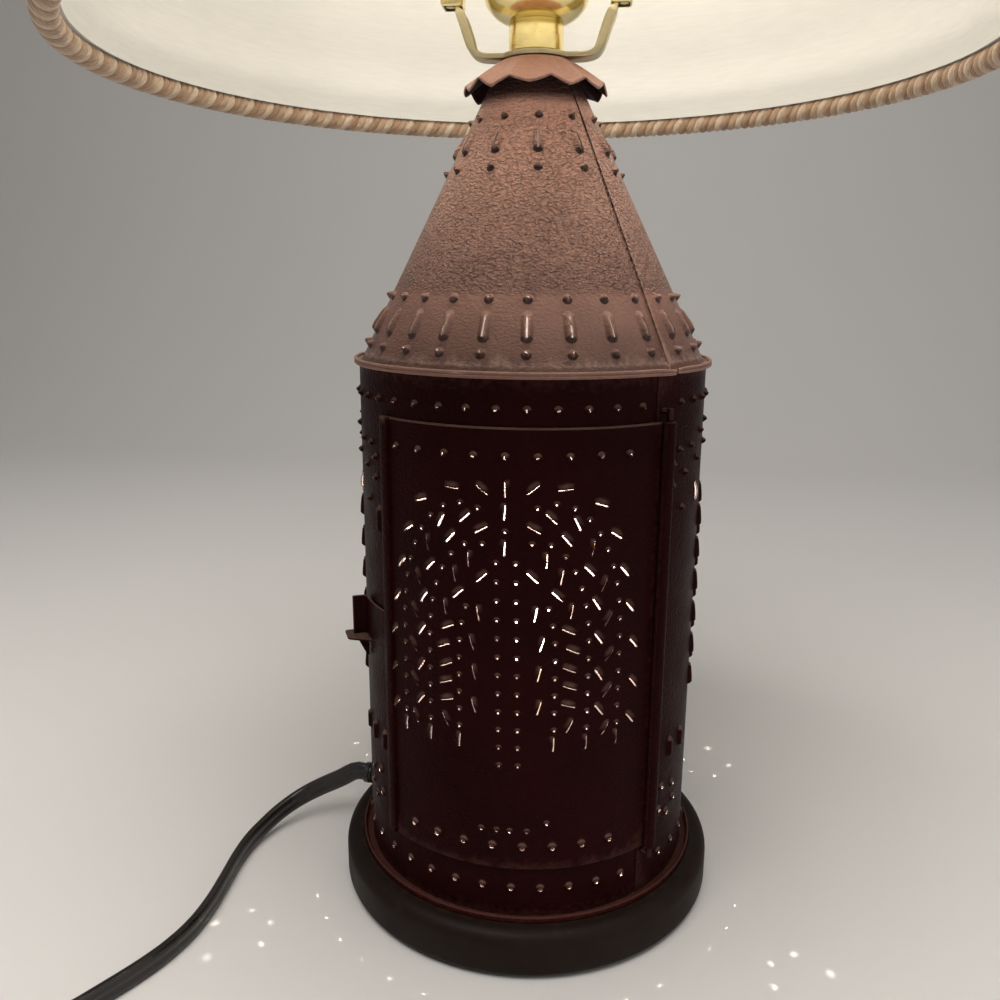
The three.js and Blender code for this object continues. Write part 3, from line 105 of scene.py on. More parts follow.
class Mesher:
    """Makes Blender objects from millimetre meshes."""

    @staticmethod
    def add(
        name: str,
        points: np.ndarray,
        faces: Sequence[Sequence[int]],
        finishes: Sequence[Material],
        face_finish: Sequence[int] | None = None,
        crease: float | None = 38.0,
        weld: bool = False,
    ) -> Piece:
        """Adds one mesh object, smooth shaded, with sharp edges where faces meet at more than the crease angle.

        Args:
            name: the piece's name.
            points: corners in millimetres.
            faces: corner numbers of each face.
            finishes: the materials, by slot.
            face_finish: the slot of each face, or None for slot 0.
            crease: angle in degrees, or None to leave normals as they are.
            weld: whether doubled corners are merged and normals turned outwards.

        Returns:
            The new object, linked to the scene.
        """
        mesh = bpy.data.meshes.new(name)
        mesh.from_pydata((np.asarray(points, dtype=float) * MM).tolist(), [], [list(map(int, f)) for f in faces])
        for finish in finishes:
            mesh.materials.append(finish)
        if face_finish is not None:
            mesh.polygons.foreach_set("material_index", list(map(int, face_finish)))
        if weld:
            turn_outwards(mesh, True)
        mesh.polygons.foreach_set("use_smooth", [True] * len(mesh.polygons))
        mesh.update()
        if crease is not None:
            mesh.set_sharp_from_angle(angle=math.radians(crease))
        piece = bpy.data.objects.new(name, mesh)
        bpy.context.scene.collection.objects.link(piece)
        return piece

    @staticmethod
    def grid_faces(rows: int, columns: int, close_rows: bool, close_columns: bool) -> list[tuple[int, int, int, int]]:
        """Quads over a grid of corners stored row by row.

        Args:
            rows: number of rows.
            columns: number of corners in a row.
            close_rows: whether the last row joins the first.
            close_columns: whether each row is a ring.

        Returns:
            Corner numbers of the quads.
        """
        quads = []
        for row in range(rows if close_rows else rows - 1):
            after = (row + 1) % rows
            for column in range(columns if close_columns else columns - 1):
                beside = (column + 1) % columns
                quads.append((row * columns + column, row * columns + beside, after * columns + beside,
                              after * columns + column))
        return quads

    @classmethod
    def tube_faces(cls, rows: int, columns: int, closed: bool) -> list[Sequence[int]]:
        """Faces over closed sections.

        Args:
            rows: number of sections.
            columns: number of corners in a section.
            closed: whether the last section joins the first; if not, the ends are flat.

        Returns:
            Corner numbers of the faces.
        """
        faces: list[Sequence[int]] = list(cls.grid_faces(rows, columns, closed, True))
        if not closed:
            faces.append(tuple(range(columns - 1, -1, -1)))
            faces.append(tuple(range((rows - 1) * columns, rows * columns)))
        return faces

    @classmethod
    def loft(
        cls,
        name: str,
        rows: Sequence[Sequence[np.ndarray]],
        finish: Material,
        closed: bool = False,
        crease: float = 38.0,
    ) -> Piece:
        """Skins closed sections.

        Args:
            name: the piece's name.
            rows: corners of each section.
            finish: the material.
            closed: whether the last section joins the first.
            crease: angle for sharp edges.

        Returns:
            The skinned object.
        """
        faces = cls.tube_faces(len(rows), len(rows[0]), closed)
        return cls.add(name, np.array(rows).reshape(-1, 3), faces, [finish], crease=crease, weld=True)

    @classmethod
    def lathe(
        cls,
        name: str,
        outline: Sequence[Pair],
        finish: Material,
        sides: int = 96,
        rounding: float = 0.0,
        crease: float = 38.0,
    ) -> Piece:
        """Turns a closed outline of (radius, z) pairs about the lamp's axis.

        Args:
            name: the piece's name.
            outline: the closed outline, without repeating its first pair.
            finish: the material.
            sides: sides of the circle.
            rounding: radius that corners of the outline are rounded to.
            crease: angle for sharp edges.

        Returns:
            The turned object.
        """
        profile = np.array(round_corners(outline, rounding) if rounding else outline, dtype=float)
        angles = np.linspace(0.0, 2.0 * math.pi, sides, endpoint=False)
        ring = np.stack([np.sin(angles), -np.cos(angles)], axis=1)
        rows = [np.column_stack([ring * radius, np.full(sides, z)]) for radius, z in profile]
        return cls.loft(name, rows, finish, True, crease)

    @classmethod
    def sweep(
        cls,
        name: str,
        path: np.ndarray,
        section: np.ndarray,
        finish: Material,
        closed: bool = False,
        up: Sequence[float] | None = None,
        rolls: np.ndarray | None = None,
        crease: float = 50.0,
    ) -> Piece:
        """Sweeps a flat section along a path, with a UV map of the millimetres along and round it.

        Args:
            name: the piece's name.
            path: points in millimetres.
            section: (across, upright) offsets of the section's corners.
            finish: the material.
            closed: whether the path is a ring.
            up: direction that the section's upright stays nearest to, or None to carry it along without twist.
            rolls: turn of the section about the path at each point, in radians.
            crease: angle for sharp edges.

        Returns:
            The swept object.
        """
        path = np.asarray(path, dtype=float)
        count = len(path)
        across, upright = path_frames(path, closed, up)
        if rolls is not None:
            cosine, sine = np.cos(rolls)[:, None], np.sin(rolls)[:, None]
            across, upright = across * cosine + upright * sine, upright * cosine - across * sine
        sides = len(section)
        points = (path[:, None, :] + across[:, None, :] * section[None, :, 0, None]
                  + upright[:, None, :] * section[None, :, 1, None]).reshape(-1, 3)
        piece = cls.add(name, points, cls.tube_faces(count, sides, closed), [finish], crease=crease)
        cls.map_sweep(piece, path, section, closed)
        turn_outwards(piece.data, False)
        return piece

    @staticmethod
    def map_sweep(piece: Piece, path: np.ndarray, section: np.ndarray, closed: bool) -> None:
        """Writes a UV map in millimetres along and round a swept piece.

        Args:
            piece: the piece.
            path: the path.
            section: the section's corners.
            closed: whether the path is a ring.
        """
        ends = np.vstack([path, path[:1]]) if closed else path
        along = travelled(ends)
        loop = np.vstack([section, section[:1]])
        round_it = travelled(loop)
        sides = len(section)
        layer = piece.data.uv_layers.new(name="UVMap")
        values = []
        for polygon in piece.data.polygons:
            corners = list(polygon.vertices)
            rows = [corner // sides for corner in corners]
            columns = [corner % sides for corner in corners]
            wrap_row = closed and 0 in rows and len(path) - 1 in rows
            wrap_column = 0 in columns and sides - 1 in columns
            for row, column in zip(rows, columns):
                row_at = len(path) if wrap_row and row == 0 else row
                column_at = sides if wrap_column and column == 0 else column
                values.extend((along[min(row_at, len(along) - 1)], round_it[column_at]))
        layer.data.foreach_set("uv", values)

    @classmethod
    def raise_outline(
        cls,
        name: str,
        outline: Sequence[Pair],
        depth: float,
        finish: Material,
        place: Callable[[np.ndarray], np.ndarray],
        bevel: float = 0.25,
    ) -> Piece:
        """Raises a flat outline into a plate and rounds its edges.

        Args:
            name: the piece's name.
            outline: corners of the outline.
            depth: thickness of the plate, centred on the outline's plane.
            finish: the material.
            place: carries (x, y, z) corners of the plate to the lamp's frame.
            bevel: radius of the edges.

        Returns:
            The plate.
        """
        flat = np.array(outline, dtype=float)
        count = len(flat)
        low = np.column_stack([flat, np.full(count, -depth / 2)])
        high = np.column_stack([flat, np.full(count, depth / 2)])
        faces: list[Sequence[int]] = [tuple(range(count - 1, -1, -1)), tuple(range(count, 2 * count))]
        faces += [(i, (i + 1) % count, count + (i + 1) % count, count + i) for i in range(count)]
        piece = cls.add(name, place(np.vstack([low, high])), faces, [finish], weld=True)
        soften(piece, bevel)
        return piece


def path_frames(path: np.ndarray, closed: bool, up: Sequence[float] | None) -> tuple[np.ndarray, np.ndarray]:
    """Across and upright directions along a path.

    Args:
        path: points of the path.
        closed: whether it is a ring.
        up: direction that upright stays nearest to, or None to carry it along without twist.

    Returns:
        Unit vectors across and upright at each point.
    """
    if closed:
        tangent = np.roll(path, -1, axis=0) - np.roll(path, 1, axis=0)
    else:
        tangent = np.gradient(path, axis=0)
    tangent /= np.linalg.norm(tangent, axis=1)[:, None]
    if up is not None:
        across = np.cross(tangent, np.asarray(up, dtype=float))
        across /= np.linalg.norm(across, axis=1)[:, None]
        return across, np.cross(across, tangent)
    start = np.array([0.0, 0.0, 1.0]) if abs(tangent[0][2]) < 0.9 else np.array([0.0, 1.0, 0.0])
    across = np.zeros_like(path)
    side = np.cross(tangent[0], start)
    for place, heading in enumerate(tangent):
        side = side - heading * np.dot(side, heading)
        side /= np.linalg.norm(side)
        across[place] = side
    return across, np.cross(across, tangent)


def circle(radius: float, sides: int) -> np.ndarray:
    """Corners of a round section."""
    angles = np.linspace(0.0, 2.0 * math.pi, sides, endpoint=False)
    return np.stack([radius * np.cos(angles), radius * np.sin(angles)], axis=1)


def round_corners(outline: Sequence[Pair], radius: float, steps: int = 4) -> list[Pair]:
    """Rounds the corners of a closed outline, as far as its edges allow.

    Args:
        outline: corners of the outline.
        radius: wanted radius.
        steps: pieces of each rounded corner.

    Returns:
        The corners of the rounded outline.
    """
    points = [np.array(point, dtype=float) for point in outline]
    rounded: list[Pair] = []
    for place, corner in enumerate(points):
        before = points[place - 1] - corner
        after = points[(place + 1) % len(points)] - corner
        reach = min(radius, 0.45 * np.linalg.norm(before), 0.45 * np.linalg.norm(after))
        if corner[0] < 1e-6 or reach < 1e-4:
            rounded.append(tuple(corner))
            continue
        start = corner + before / np.linalg.norm(before) * reach
        end = corner + after / np.linalg.norm(after) * reach
        for share in np.linspace(0.0, 1.0, steps + 1):
            point = (1 - share) ** 2 * start + 2 * share * (1 - share) * corner + share ** 2 * end
            rounded.append(tuple(point))
    return rounded


def rounded_box(half_x: float, half_y: float, radius: float, steps: int) -> list[Pair]:
    """Outline of a rectangle about the origin, with its corners rounded."""
    corners = [(-half_x, -half_y), (half_x, -half_y), (half_x, half_y), (-half_x, half_y)]
    return round_corners(corners, radius, steps)


def between(time: float, p: np.ndarray, q: np.ndarray, low: float, high: float) -> np.ndarray:
    """The point at a time on the line that leaves p at low and reaches q at high."""
    return ((high - time) * p + (time - low) * q) / (high - low)


def smooth_path(points: Sequence[Sequence[float]], step: float) -> np.ndarray:
    """A centripetal Catmull-Rom curve through points, cut into even steps.

    Args:
        points: the points that the curve passes.
        step: length of a step in millimetres.

    Returns:
        Points along the curve.
    """
    knots = np.array(points, dtype=float)
    padded = np.vstack([2 * knots[0] - knots[1], knots, 2 * knots[-1] - knots[-2]])
    dense = []
    for a, b, c, d in zip(padded, padded[1:], padded[2:], padded[3:]):
        times = np.concatenate([[0.0], np.cumsum(np.sqrt(np.linalg.norm(np.diff([a, b, c, d], axis=0), axis=1)))])
        for time in np.linspace(times[1], times[2], 24, endpoint=False):
            first = between(time, a, b, times[0], times[1])
            second = between(time, b, c, times[1], times[2])
            third = between(time, c, d, times[2], times[3])
            early = between(time, first, second, times[0], times[2])
            late = between(time, second, third, times[1], times[3])
            dense.append(between(time, early, late, times[1], times[2]))
    dense.append(knots[-1])
    return even_steps(np.array(dense), step)


def even_steps(path: np.ndarray, step: float) -> np.ndarray:
    """Cuts a path into even steps of about the given length."""
    along = travelled(path)
    places = np.linspace(0.0, along[-1], max(2, round(along[-1] / step) + 1))
    return np.column_stack([np.interp(places, along, path[:, axis]) for axis in range(3)])


def soften(piece: Piece, width: float, segments: int = 2) -> None:
    """Adds a bevel modifier that rounds the hard edges of a piece.

    Args:
        piece: the piece.
        width: how wide the bevel is.
        segments: steps of the bevel.
    """
    bevel = piece.modifiers.new("rounded_edges", "BEVEL")
    bevel.width = width * MM
    bevel.segments = segments
    bevel.limit_method = "ANGLE"
    bevel.angle_limit = math.radians(HARD_EDGE)
    bevel.harden_normals = True


def turn_outwards(mesh: bpy.types.Mesh, weld: bool) -> None:
    """Turns the faces of a mesh outwards.

    Args:
        mesh: the mesh.
        weld: whether doubled corners are merged first.
    """
    work = bmesh.new()
    work.from_mesh(mesh)
    if weld:
        bmesh.ops.remove_doubles(work, verts=work.verts, dist=SAME_PLACE)
    bmesh.ops.recalc_face_normals(work, faces=work.faces)
    work.to_mesh(mesh)
    work.free()


# Punched tin


class Stroke(Enum):
    """What a punch leaves in the tin."""

    BOSS = "a round raised bump with a torn tip"
    RIDGE = "a long raised bump"
    DOT = "a round hole with a burr"
    SLIT = "a chisel slit with one raised lip"


@dataclass(frozen=True)
class TinSurface:
    """A tube or cone of tin laid out flat: x runs round it at its foot and y up its slant, in millimetres."""

    foot_radius: float
    foot_z: float
    taper: float = 0.0

    @property
    def slant(self) -> float:
        """Length along the slant for a millimetre of height."""
        return math.hypot(1.0, self.taper)

    def radius(self, y: np.ndarray | float) -> np.ndarray | float:
        """Distance from the axis at a place up the slant."""
        return self.foot_radius - self.taper * np.asarray(y) / self.slant

    def flat(self, azimuth: float, z: float) -> Pair:
        """The flat place of an azimuth and a height."""
        return math.radians(azimuth) * self.foot_radius, (z - self.foot_z) * self.slant

    def place(self, x: np.ndarray, y: np.ndarray, lift: np.ndarray) -> np.ndarray:
        """Rolls flat places up, lifted off the surface.

        Args:
            x: distance round the foot.
            y: distance up the slant.
            lift: height off the surface.

        Returns:
            Points in the lamp's frame.
        """
        angle = x / self.foot_radius
        radius = self.radius(y) + lift / self.slant
        z = self.foot_z + y / self.slant + lift * self.taper / self.slant
        return np.stack([radius * np.sin(angle), -radius * np.cos(angle), z], axis=-1)


@dataclass(frozen=True)
class Mark:
    """One punch mark: its place on the lamp, its direction and its size."""

    stroke: Stroke
    azimuth: float
    z: float
    length: float
    width: float
    height: float
    tilt: float = 90.0
    lip: float = 1.0
    fade: float = 0.0

    @property
    def is_hole(self) -> bool:
        """Whether the punch went through."""
        return self.stroke in (Stroke.DOT, Stroke.SLIT)

    @property
    def core(self) -> float:
        """Half the length of the mark's straight middle."""
        return max(self.length - self.width, 0.0) / 2

    @property
    def reach(self) -> float:
        """How far the tin is bent round the mark's middle line."""
        return self.width / 2 + 1.9 if self.is_hole else 1.15 * self.width / 2

    def local(self, surface: TinSurface, x: np.ndarray, y: np.ndarray) -> tuple[np.ndarray, np.ndarray]:
        """Flat places in the mark's own directions, along and across it.

        Args:
            surface: the tin that carries the mark.
            x: flat places round the tin.
            y: flat places up its slant.

        Returns:
            Distances along and across the mark.
        """
        x0, y0 = surface.flat(self.azimuth, self.z)
        stretch = surface.radius(y0) / surface.foot_radius
        turn = math.radians(self.tilt)
        dx, dy = (x - x0) * stretch, y - y0
        return dx * math.cos(turn) + dy * math.sin(turn), dy * math.cos(turn) - dx * math.sin(turn)

    def distance(self, surface: TinSurface, x: np.ndarray, y: np.ndarray) -> np.ndarray:
        """Distance of flat places from the mark's middle line."""
        return self.from_middle(*self.local(surface, x, y))

    def from_middle(self, along: np.ndarray, across: np.ndarray) -> np.ndarray:
        """Distance from the mark's middle line of places in its own directions."""
        return np.hypot(np.maximum(np.abs(along) - self.core, 0.0), across)

    def lift(self, surface: TinSurface, x: np.ndarray, y: np.ndarray) -> np.ndarray:
        """How far the mark raises the tin at flat places.

        Args:
            surface: the tin that carries the mark.
            x: flat places round the tin.
            y: flat places up its slant.

        Returns:
            Heights at the places.
        """
        along, across = self.local(surface, x, y)
        distance = self.from_middle(along, across)
        half = self.width / 2
        if self.stroke is Stroke.BOSS:
            dome = np.clip(1.0 - (distance / half) ** 2, 0.0, 1.0) ** 1.5
            torn = 0.4 * np.exp(-((along - 0.16 * half) ** 2 + (across + 0.22 * half) ** 2) / (0.2 * half) ** 2)
            return self.height * (dome - torn)
        if self.stroke is Stroke.RIDGE:
            slope = 1.0 - self.fade * smoothstep(-0.6, 1.0, along / (self.length / 2))
            return self.height * slope * np.clip(1.0 - (distance / half) ** 2, 0.0, 1.0) ** 1.45
        edge = np.maximum(distance - half, 0.0)
        if self.stroke is Stroke.DOT:
            return self.height * np.exp(-(edge / 0.55) ** 2)
        side = smoothstep(-0.3, 0.3, across * self.lip)
        ends = np.clip(1.0 - (np.abs(along) / (self.length / 2 + 0.5)) ** 2, 0.0, 1.0)
        raised = self.height * ends * np.exp(-(edge / 1.1) ** 2)
        return raised * (0.18 + 0.82 * side)

    def ring(self, surface: TinSurface, offset: float) -> np.ndarray:
        """Flat corners of the line that runs round the mark at a distance from its middle line.

        Args:
            surface: the tin that carries the mark.
            offset: distance from the middle line.

        Returns:
            Corners of the line.
        """
        sides = 8 if self.core == 0 and offset < 0.8 else 12
        if self.core == 0:
            local = circle(offset, sides)
        else:
            half_turn = np.linspace(-math.pi / 2, math.pi / 2, sides // 2 + 1)
            right = np.stack([self.core + offset * np.cos(half_turn), offset * np.sin(half_turn)], axis=1)
            middle = np.linspace(self.core, -self.core, max(3, round(self.core / 0.9) + 1))[1:-1]
            top = np.stack([middle, np.full(len(middle), offset)], axis=1)
            local = np.vstack([right, top, -right, -top])
        x0, y0 = surface.flat(self.azimuth, self.z)
        stretch = surface.radius(y0) / surface.foot_radius
        turn = math.radians(self.tilt)
        dx = local[:, 0] * math.cos(turn) - local[:, 1] * math.sin(turn)
        dy = local[:, 0] * math.sin(turn) + local[:, 1] * math.cos(turn)
        return np.stack([x0 + dx / stretch, y0 + dy], axis=1)

    def rings(self, surface: TinSurface) -> list[np.ndarray]:
        """The lines round the mark that its bent tin is cut along, the hole's edge first.

        Args:
            surface: the tin that carries the mark.

        Returns:
            The lines.
        """
        half = self.width / 2
        if self.stroke is Stroke.DOT:
            offsets = [half, half + 0.5, half + 1.1]
        elif self.stroke is Stroke.SLIT:
            offsets = [half, half + 0.45, half + 1.0, half + 1.9]
        else:
            first = 0.42 if self.stroke is Stroke.RIDGE else 0.2
            offsets = [half * share for share in (first, 0.52, 0.68, 0.84, 0.96, 1.12)]
        return [self.ring(surface, offset) for offset in offsets]


@dataclass
class PunchedSheet:
    """A sheet of tin on a tube or cone, cut and punched, with its thickness inwards."""

    name: str
    surface: TinSurface
    start: float
    end: float
    bottom: float
    top: float
    marks: list[Mark]
    thickness: float = 0.55
    window: tuple[float, float, float, float] | None = None
    openings: list[Mark] = field(default_factory=list)
    tuck: float = 0.0
    spacing: float = 3.2
    rounding: float = 0.0

    def tuck_lift(self, x: np.ndarray) -> np.ndarray:
        """How far the last edge is tucked in under the first one at a lapped seam.

        Args:
            x: flat places round the tin.

        Returns:
            Heights at the places.
        """
        if not self.tuck:
            return np.zeros_like(x)
        lapped = math.radians(self.end - self.tuck) * self.surface.foot_radius
        return -(self.thickness + 0.12) * smoothstep(lapped - 2.0, lapped, x)

    def lift(self, x: np.ndarray, y: np.ndarray) -> np.ndarray:
        """Height of the punched tin over the plain surface.

        Args:
            x: flat places round the tin.
            y: flat places up its slant.

        Returns:
            Heights at the places.
        """
        total = self.tuck_lift(x)
        if self.rounding:
            edge = self.surface.flat(0.0, self.top)[1] - self.rounding
            total -= 1.1 * np.maximum(y - edge, 0.0)
        for mark in self.marks:
            x0, y0 = self.surface.flat(mark.azimuth, mark.z)
            reach = mark.core + mark.reach + 0.3
            wide = reach * self.surface.foot_radius / self.surface.radius(y0)
            near = np.nonzero((np.abs(x - x0) < wide) & (np.abs(y - y0) < reach))[0]
            if len(near):
                total[near] += mark.lift(self.surface, x[near], y[near])
        return total

    def removed(self, x: np.ndarray, y: np.ndarray) -> np.ndarray:
        """Which flat places fall in a hole or in the window.

        Args:
            x: flat places round the tin.
            y: flat places up its slant.

        Returns:
            True where the tin is gone.
        """
        gone = np.zeros(len(x), dtype=bool)
        for mark in [*self.marks, *self.openings]:
            if mark.is_hole:
                gone |= mark.distance(self.surface, x, y) < mark.width / 2 * 0.97
        if self.window:
            (left, low), (right, high) = self.window_corners()
            gone |= (x > left) & (x < right) & (y > low) & (y < high)
        return gone

    def window_corners(self) -> tuple[Pair, Pair]:
        """Flat lower and upper corners of the window."""
        left, right, low, high = self.window
        return self.surface.flat(left, low), self.surface.flat(right, high)

    def rulings(self, first: Pair, last: Pair) -> tuple[np.ndarray, np.ndarray]:
        """Even columns and rows between two flat corners.

        Args:
            first: the lower left corner.
            last: the upper right corner.

        Returns:
            Places of the columns and of the rows.
        """
        wide, high = last[0] - first[0], last[1] - first[1]
        columns = np.linspace(first[0], last[0], max(2, round(wide / self.spacing) + 1))
        rows = np.linspace(first[1], last[1], max(2, round(high / (1.5 * self.spacing)) + 1))
        return columns, rows

    @staticmethod
    def border(columns: np.ndarray, rows: np.ndarray) -> np.ndarray:
        """Flat corners once round a rectangle of columns and rows.

        Args:
            columns: places of the columns.
            rows: places of the rows.

        Returns:
            The corners.
        """
        return np.vstack([
            np.column_stack([columns, np.full(len(columns), rows[0])]),
            np.column_stack([np.full(len(rows) - 1, columns[-1]), rows[1:]]),
            np.column_stack([columns[::-1][1:], np.full(len(columns) - 1, rows[-1])]),
            np.column_stack([np.full(len(rows) - 2, columns[0]), rows[::-1][1:-1]]),
        ])

    def lay_out(self) -> tuple[np.ndarray, np.ndarray]:
        """Cuts the flat sheet into triangles.

        Returns:
            Flat corners and the triangles that are left.
        """
        x0, y0 = self.surface.flat(self.start, self.bottom)
        x1, y1 = self.surface.flat(self.end, self.top)
        columns, rows = self.rulings((x0, y0), (x1, y1))
        loops = [self.border(columns, rows)]
        for mark in self.marks:
            loops += mark.rings(self.surface)
        loops += [mark.ring(self.surface, mark.width / 2) for mark in self.openings]
        bends = (y1 - self.rounding, y1 - self.rounding - 0.2) if self.rounding else ()
        seams = [np.column_stack([columns, np.full(len(columns), y)]) for y in bends]
        if self.window:
            loops.append(self.border(*self.rulings(*self.window_corners())))
        grid = np.stack(np.meshgrid(columns[1:-1], rows[1:-1]), axis=-1).reshape(-1, 2)
        free = np.ones(len(grid), dtype=bool)
        for mark in [*self.marks, *self.openings]:
            free &= mark.distance(self.surface, grid[:, 0], grid[:, 1]) > mark.reach + 0.6
        points = np.vstack([*loops, *seams, grid[free]])
        edges, first = [], 0
        for loop in loops:
            count = len(loop)
            edges += [(first + i, first + (i + 1) % count) for i in range(count)]
            first += count
        for seam in seams:
            edges += [(first + i, first + i + 1) for i in range(len(seam) - 1)]
            first += len(seam)
        corners, _, triangles, *_ = delaunay_2d_cdt([Vector(p) for p in points], edges, [], 0, 1e-4)
        flat = np.array([corner[:] for corner in corners])
        triangles = np.array(triangles)
        middle = flat[triangles].mean(axis=1)
        inside = (middle[:, 0] > x0) & (middle[:, 0] < x1) & (middle[:, 1] > y0) & (middle[:, 1] < y1)
        return flat, triangles[inside & ~self.removed(middle[:, 0], middle[:, 1])]

    def normals(self, x: np.ndarray, y: np.ndarray) -> np.ndarray:
        """Outward directions of the punched surface at flat places.

        Args:
            x: flat places round the tin.
            y: flat places up its slant.

        Returns:
            Unit vectors.
        """
        step = 0.06
        ahead = self.surface.place(x + step, y, self.lift(x + step, y))
        behind = self.surface.place(x - step, y, self.lift(x - step, y))
        above = self.surface.place(x, y + step, self.lift(x, y + step))
        below = self.surface.place(x, y - step, self.lift(x, y - step))
        normal = np.cross(ahead - behind, above - below)
        return normal / np.linalg.norm(normal, axis=1)[:, None]

    def build(self, outside: Material, inside: Material) -> Piece:
        """Makes the sheet: the outside, the inside and the cut edges.

        Args:
            outside: finish of the outside and of the sheet's own edges.
            inside: finish of the inside and of the holes' edges.

        Returns:
            The sheet.
        """
        flat, triangles = self.lay_out()
        used, triangles = np.unique(triangles, return_inverse=True)
        triangles = triangles.reshape(-1, 3)
        x, y = flat[used, 0], flat[used, 1]
        lift = self.lift(x, y)
        outer = self.surface.place(x, y, lift)
        inner = self.surface.place(x, y, lift - self.thickness)
        count = len(used)
        edges = {(a, b) for t in triangles for a, b in ((t[0], t[1]), (t[1], t[2]), (t[2], t[0]))}
        rim = [(b, a, a + count, b + count) for a, b in edges if (b, a) not in edges]
        faces = [tuple(t) for t in triangles] + [tuple(t[::-1] + count) for t in triangles] + rim
        (x0, y0), (x1, y1) = self.surface.flat(self.start, self.bottom), self.surface.flat(self.end, self.top)
        border = np.minimum(np.minimum(x - x0, x1 - x), np.minimum(y - y0, y1 - y)) < 1e-3
        finish = [0] * len(triangles) + [1] * len(triangles)
        finish += [0 if border[a] and border[b] else 1 for b, a, *_ in rim]
        piece = Mesher.add(self.name, np.vstack([outer, inner]), faces, [outside, inside], finish, crease=None)
        normal = self.normals(x, y)
        both = np.vstack([normal, -normal])
        loops = [both[corner] for face in faces[:2 * len(triangles)] for corner in face]
        points = np.vstack([outer, inner])
        for a, b, c, d in rim:
            across = np.cross(points[c] - points[a], points[d] - points[b])
            loops += [across / max(np.linalg.norm(across), 1e-9)] * 4
        piece.data.normals_split_custom_set([tuple(map(float, n)) for n in loops])
        return piece


# Shader tools


class Wiring:
    """Adds nodes to a tree and joins them."""

    def __init__(self, tree: bpy.types.NodeTree) -> None:
        """Keeps the tree that nodes go into."""
        self.tree = tree

    def add(self, kind: str, settings: dict | None = None, inputs: dict | None = None) -> Node:
        """Adds a node.

        Args:
            kind: the node's type.
            settings: attributes to set on it.
            inputs: values or sockets, by input name or number.

        Returns:
            The node.
        """
        node = self.tree.nodes.new(kind)
        for key, value in (settings or {}).items():
            setattr(node, key, value)
        for key, value in (inputs or {}).items():
            self.feed(node, key, value)
        return node

    def feed(self, node: Node, key: str | int, value: object) -> None:
        """Sets an input, or links it if the value is a socket.

        Args:
            node: the node.
            key: name or number of the input.
            value: a value or a socket.
        """
        if isinstance(value, Output):
            self.tree.links.new(value, node.inputs[key])
        else:
            node.inputs[key].default_value = value

    def maths(self, operation: str, first: object, second: object = 0.0, clamp: bool = False) -> Output:
        """A Math node's result."""
        settings = {"operation": operation, "use_clamp": clamp}
        return self.add("ShaderNodeMath", settings, {0: first, 1: second}).outputs[0]

    def times(self, first: object, second: object, clamp: bool = False) -> Output:
        """A product."""
        return self.maths("MULTIPLY", first, second, clamp)

    def remap(self, value: object, low: float, high: float, to_low: float, to_high: float) -> Output:
        """A clamped linear map of a value."""
        inputs = {"Value": value, "From Min": low, "From Max": high, "To Min": to_low, "To Max": to_high}
        return self.add("ShaderNodeMapRange", {"clamp": True}, inputs).outputs["Result"]

    def noise(self, vector: object, scale: float, detail: float = 3.0, rough: float = 0.55) -> Output:
        """A noise texture's value."""
        inputs = {"Vector": vector, "Scale": scale, "Detail": detail, "Roughness": rough}
        return self.add("ShaderNodeTexNoise", None, inputs).outputs["Fac"]

    def stretch(self, vector: object, factors: Sequence[float]) -> Output:
        """A vector scaled along its axes."""
        inputs = {0: vector, 1: tuple(factors)}
        return self.add("ShaderNodeVectorMath", {"operation": "MULTIPLY"}, inputs).outputs[0]

    def blend(self, share: object, first: object, second: object) -> Output:
        """A mix of two colours."""
        inputs = {"Factor": share, 6: opaque(first), 7: opaque(second)}
        return self.add("ShaderNodeMix", {"data_type": "RGBA"}, inputs).outputs[2]

    def bump(self, height: object, distance: float, strength: float = 1.0, below: object = None) -> Output:
        """A bump from a height, with the distance in millimetres.

        Args:
            height: the height socket.
            distance: distance in millimetres.
            strength: strength of the bump.
            below: a normal to start from.

        Returns:
            The bent normal.
        """
        inputs = {"Height": height, "Distance": distance * MM, "Strength": strength}
        if below is not None:
            inputs["Normal"] = below
        return self.add("ShaderNodeBump", None, inputs).outputs["Normal"]


def opaque(colour: object) -> object:
    """A colour with full alpha, or the socket that carries it."""
    return colour if isinstance(colour, Output) else (*colour, 1.0)


class GroupWiring(Wiring):
    """Wiring inside a node group, with the group's inputs and outputs."""

    def __init__(self, tree: bpy.types.NodeTree) -> None:
        """Adds the nodes that carry the inputs and outputs."""
        super().__init__(tree)
        self.entry = self.add("NodeGroupInput")
        self.exit = self.add("NodeGroupOutput")

    def given(self, key: str) -> Output:
        """One of the group's inputs."""
        return self.entry.outputs[key]

    def give(self, key: str, value: Output) -> None:
        """Feeds one of the group's outputs."""
        self.feed(self.exit, key, value)


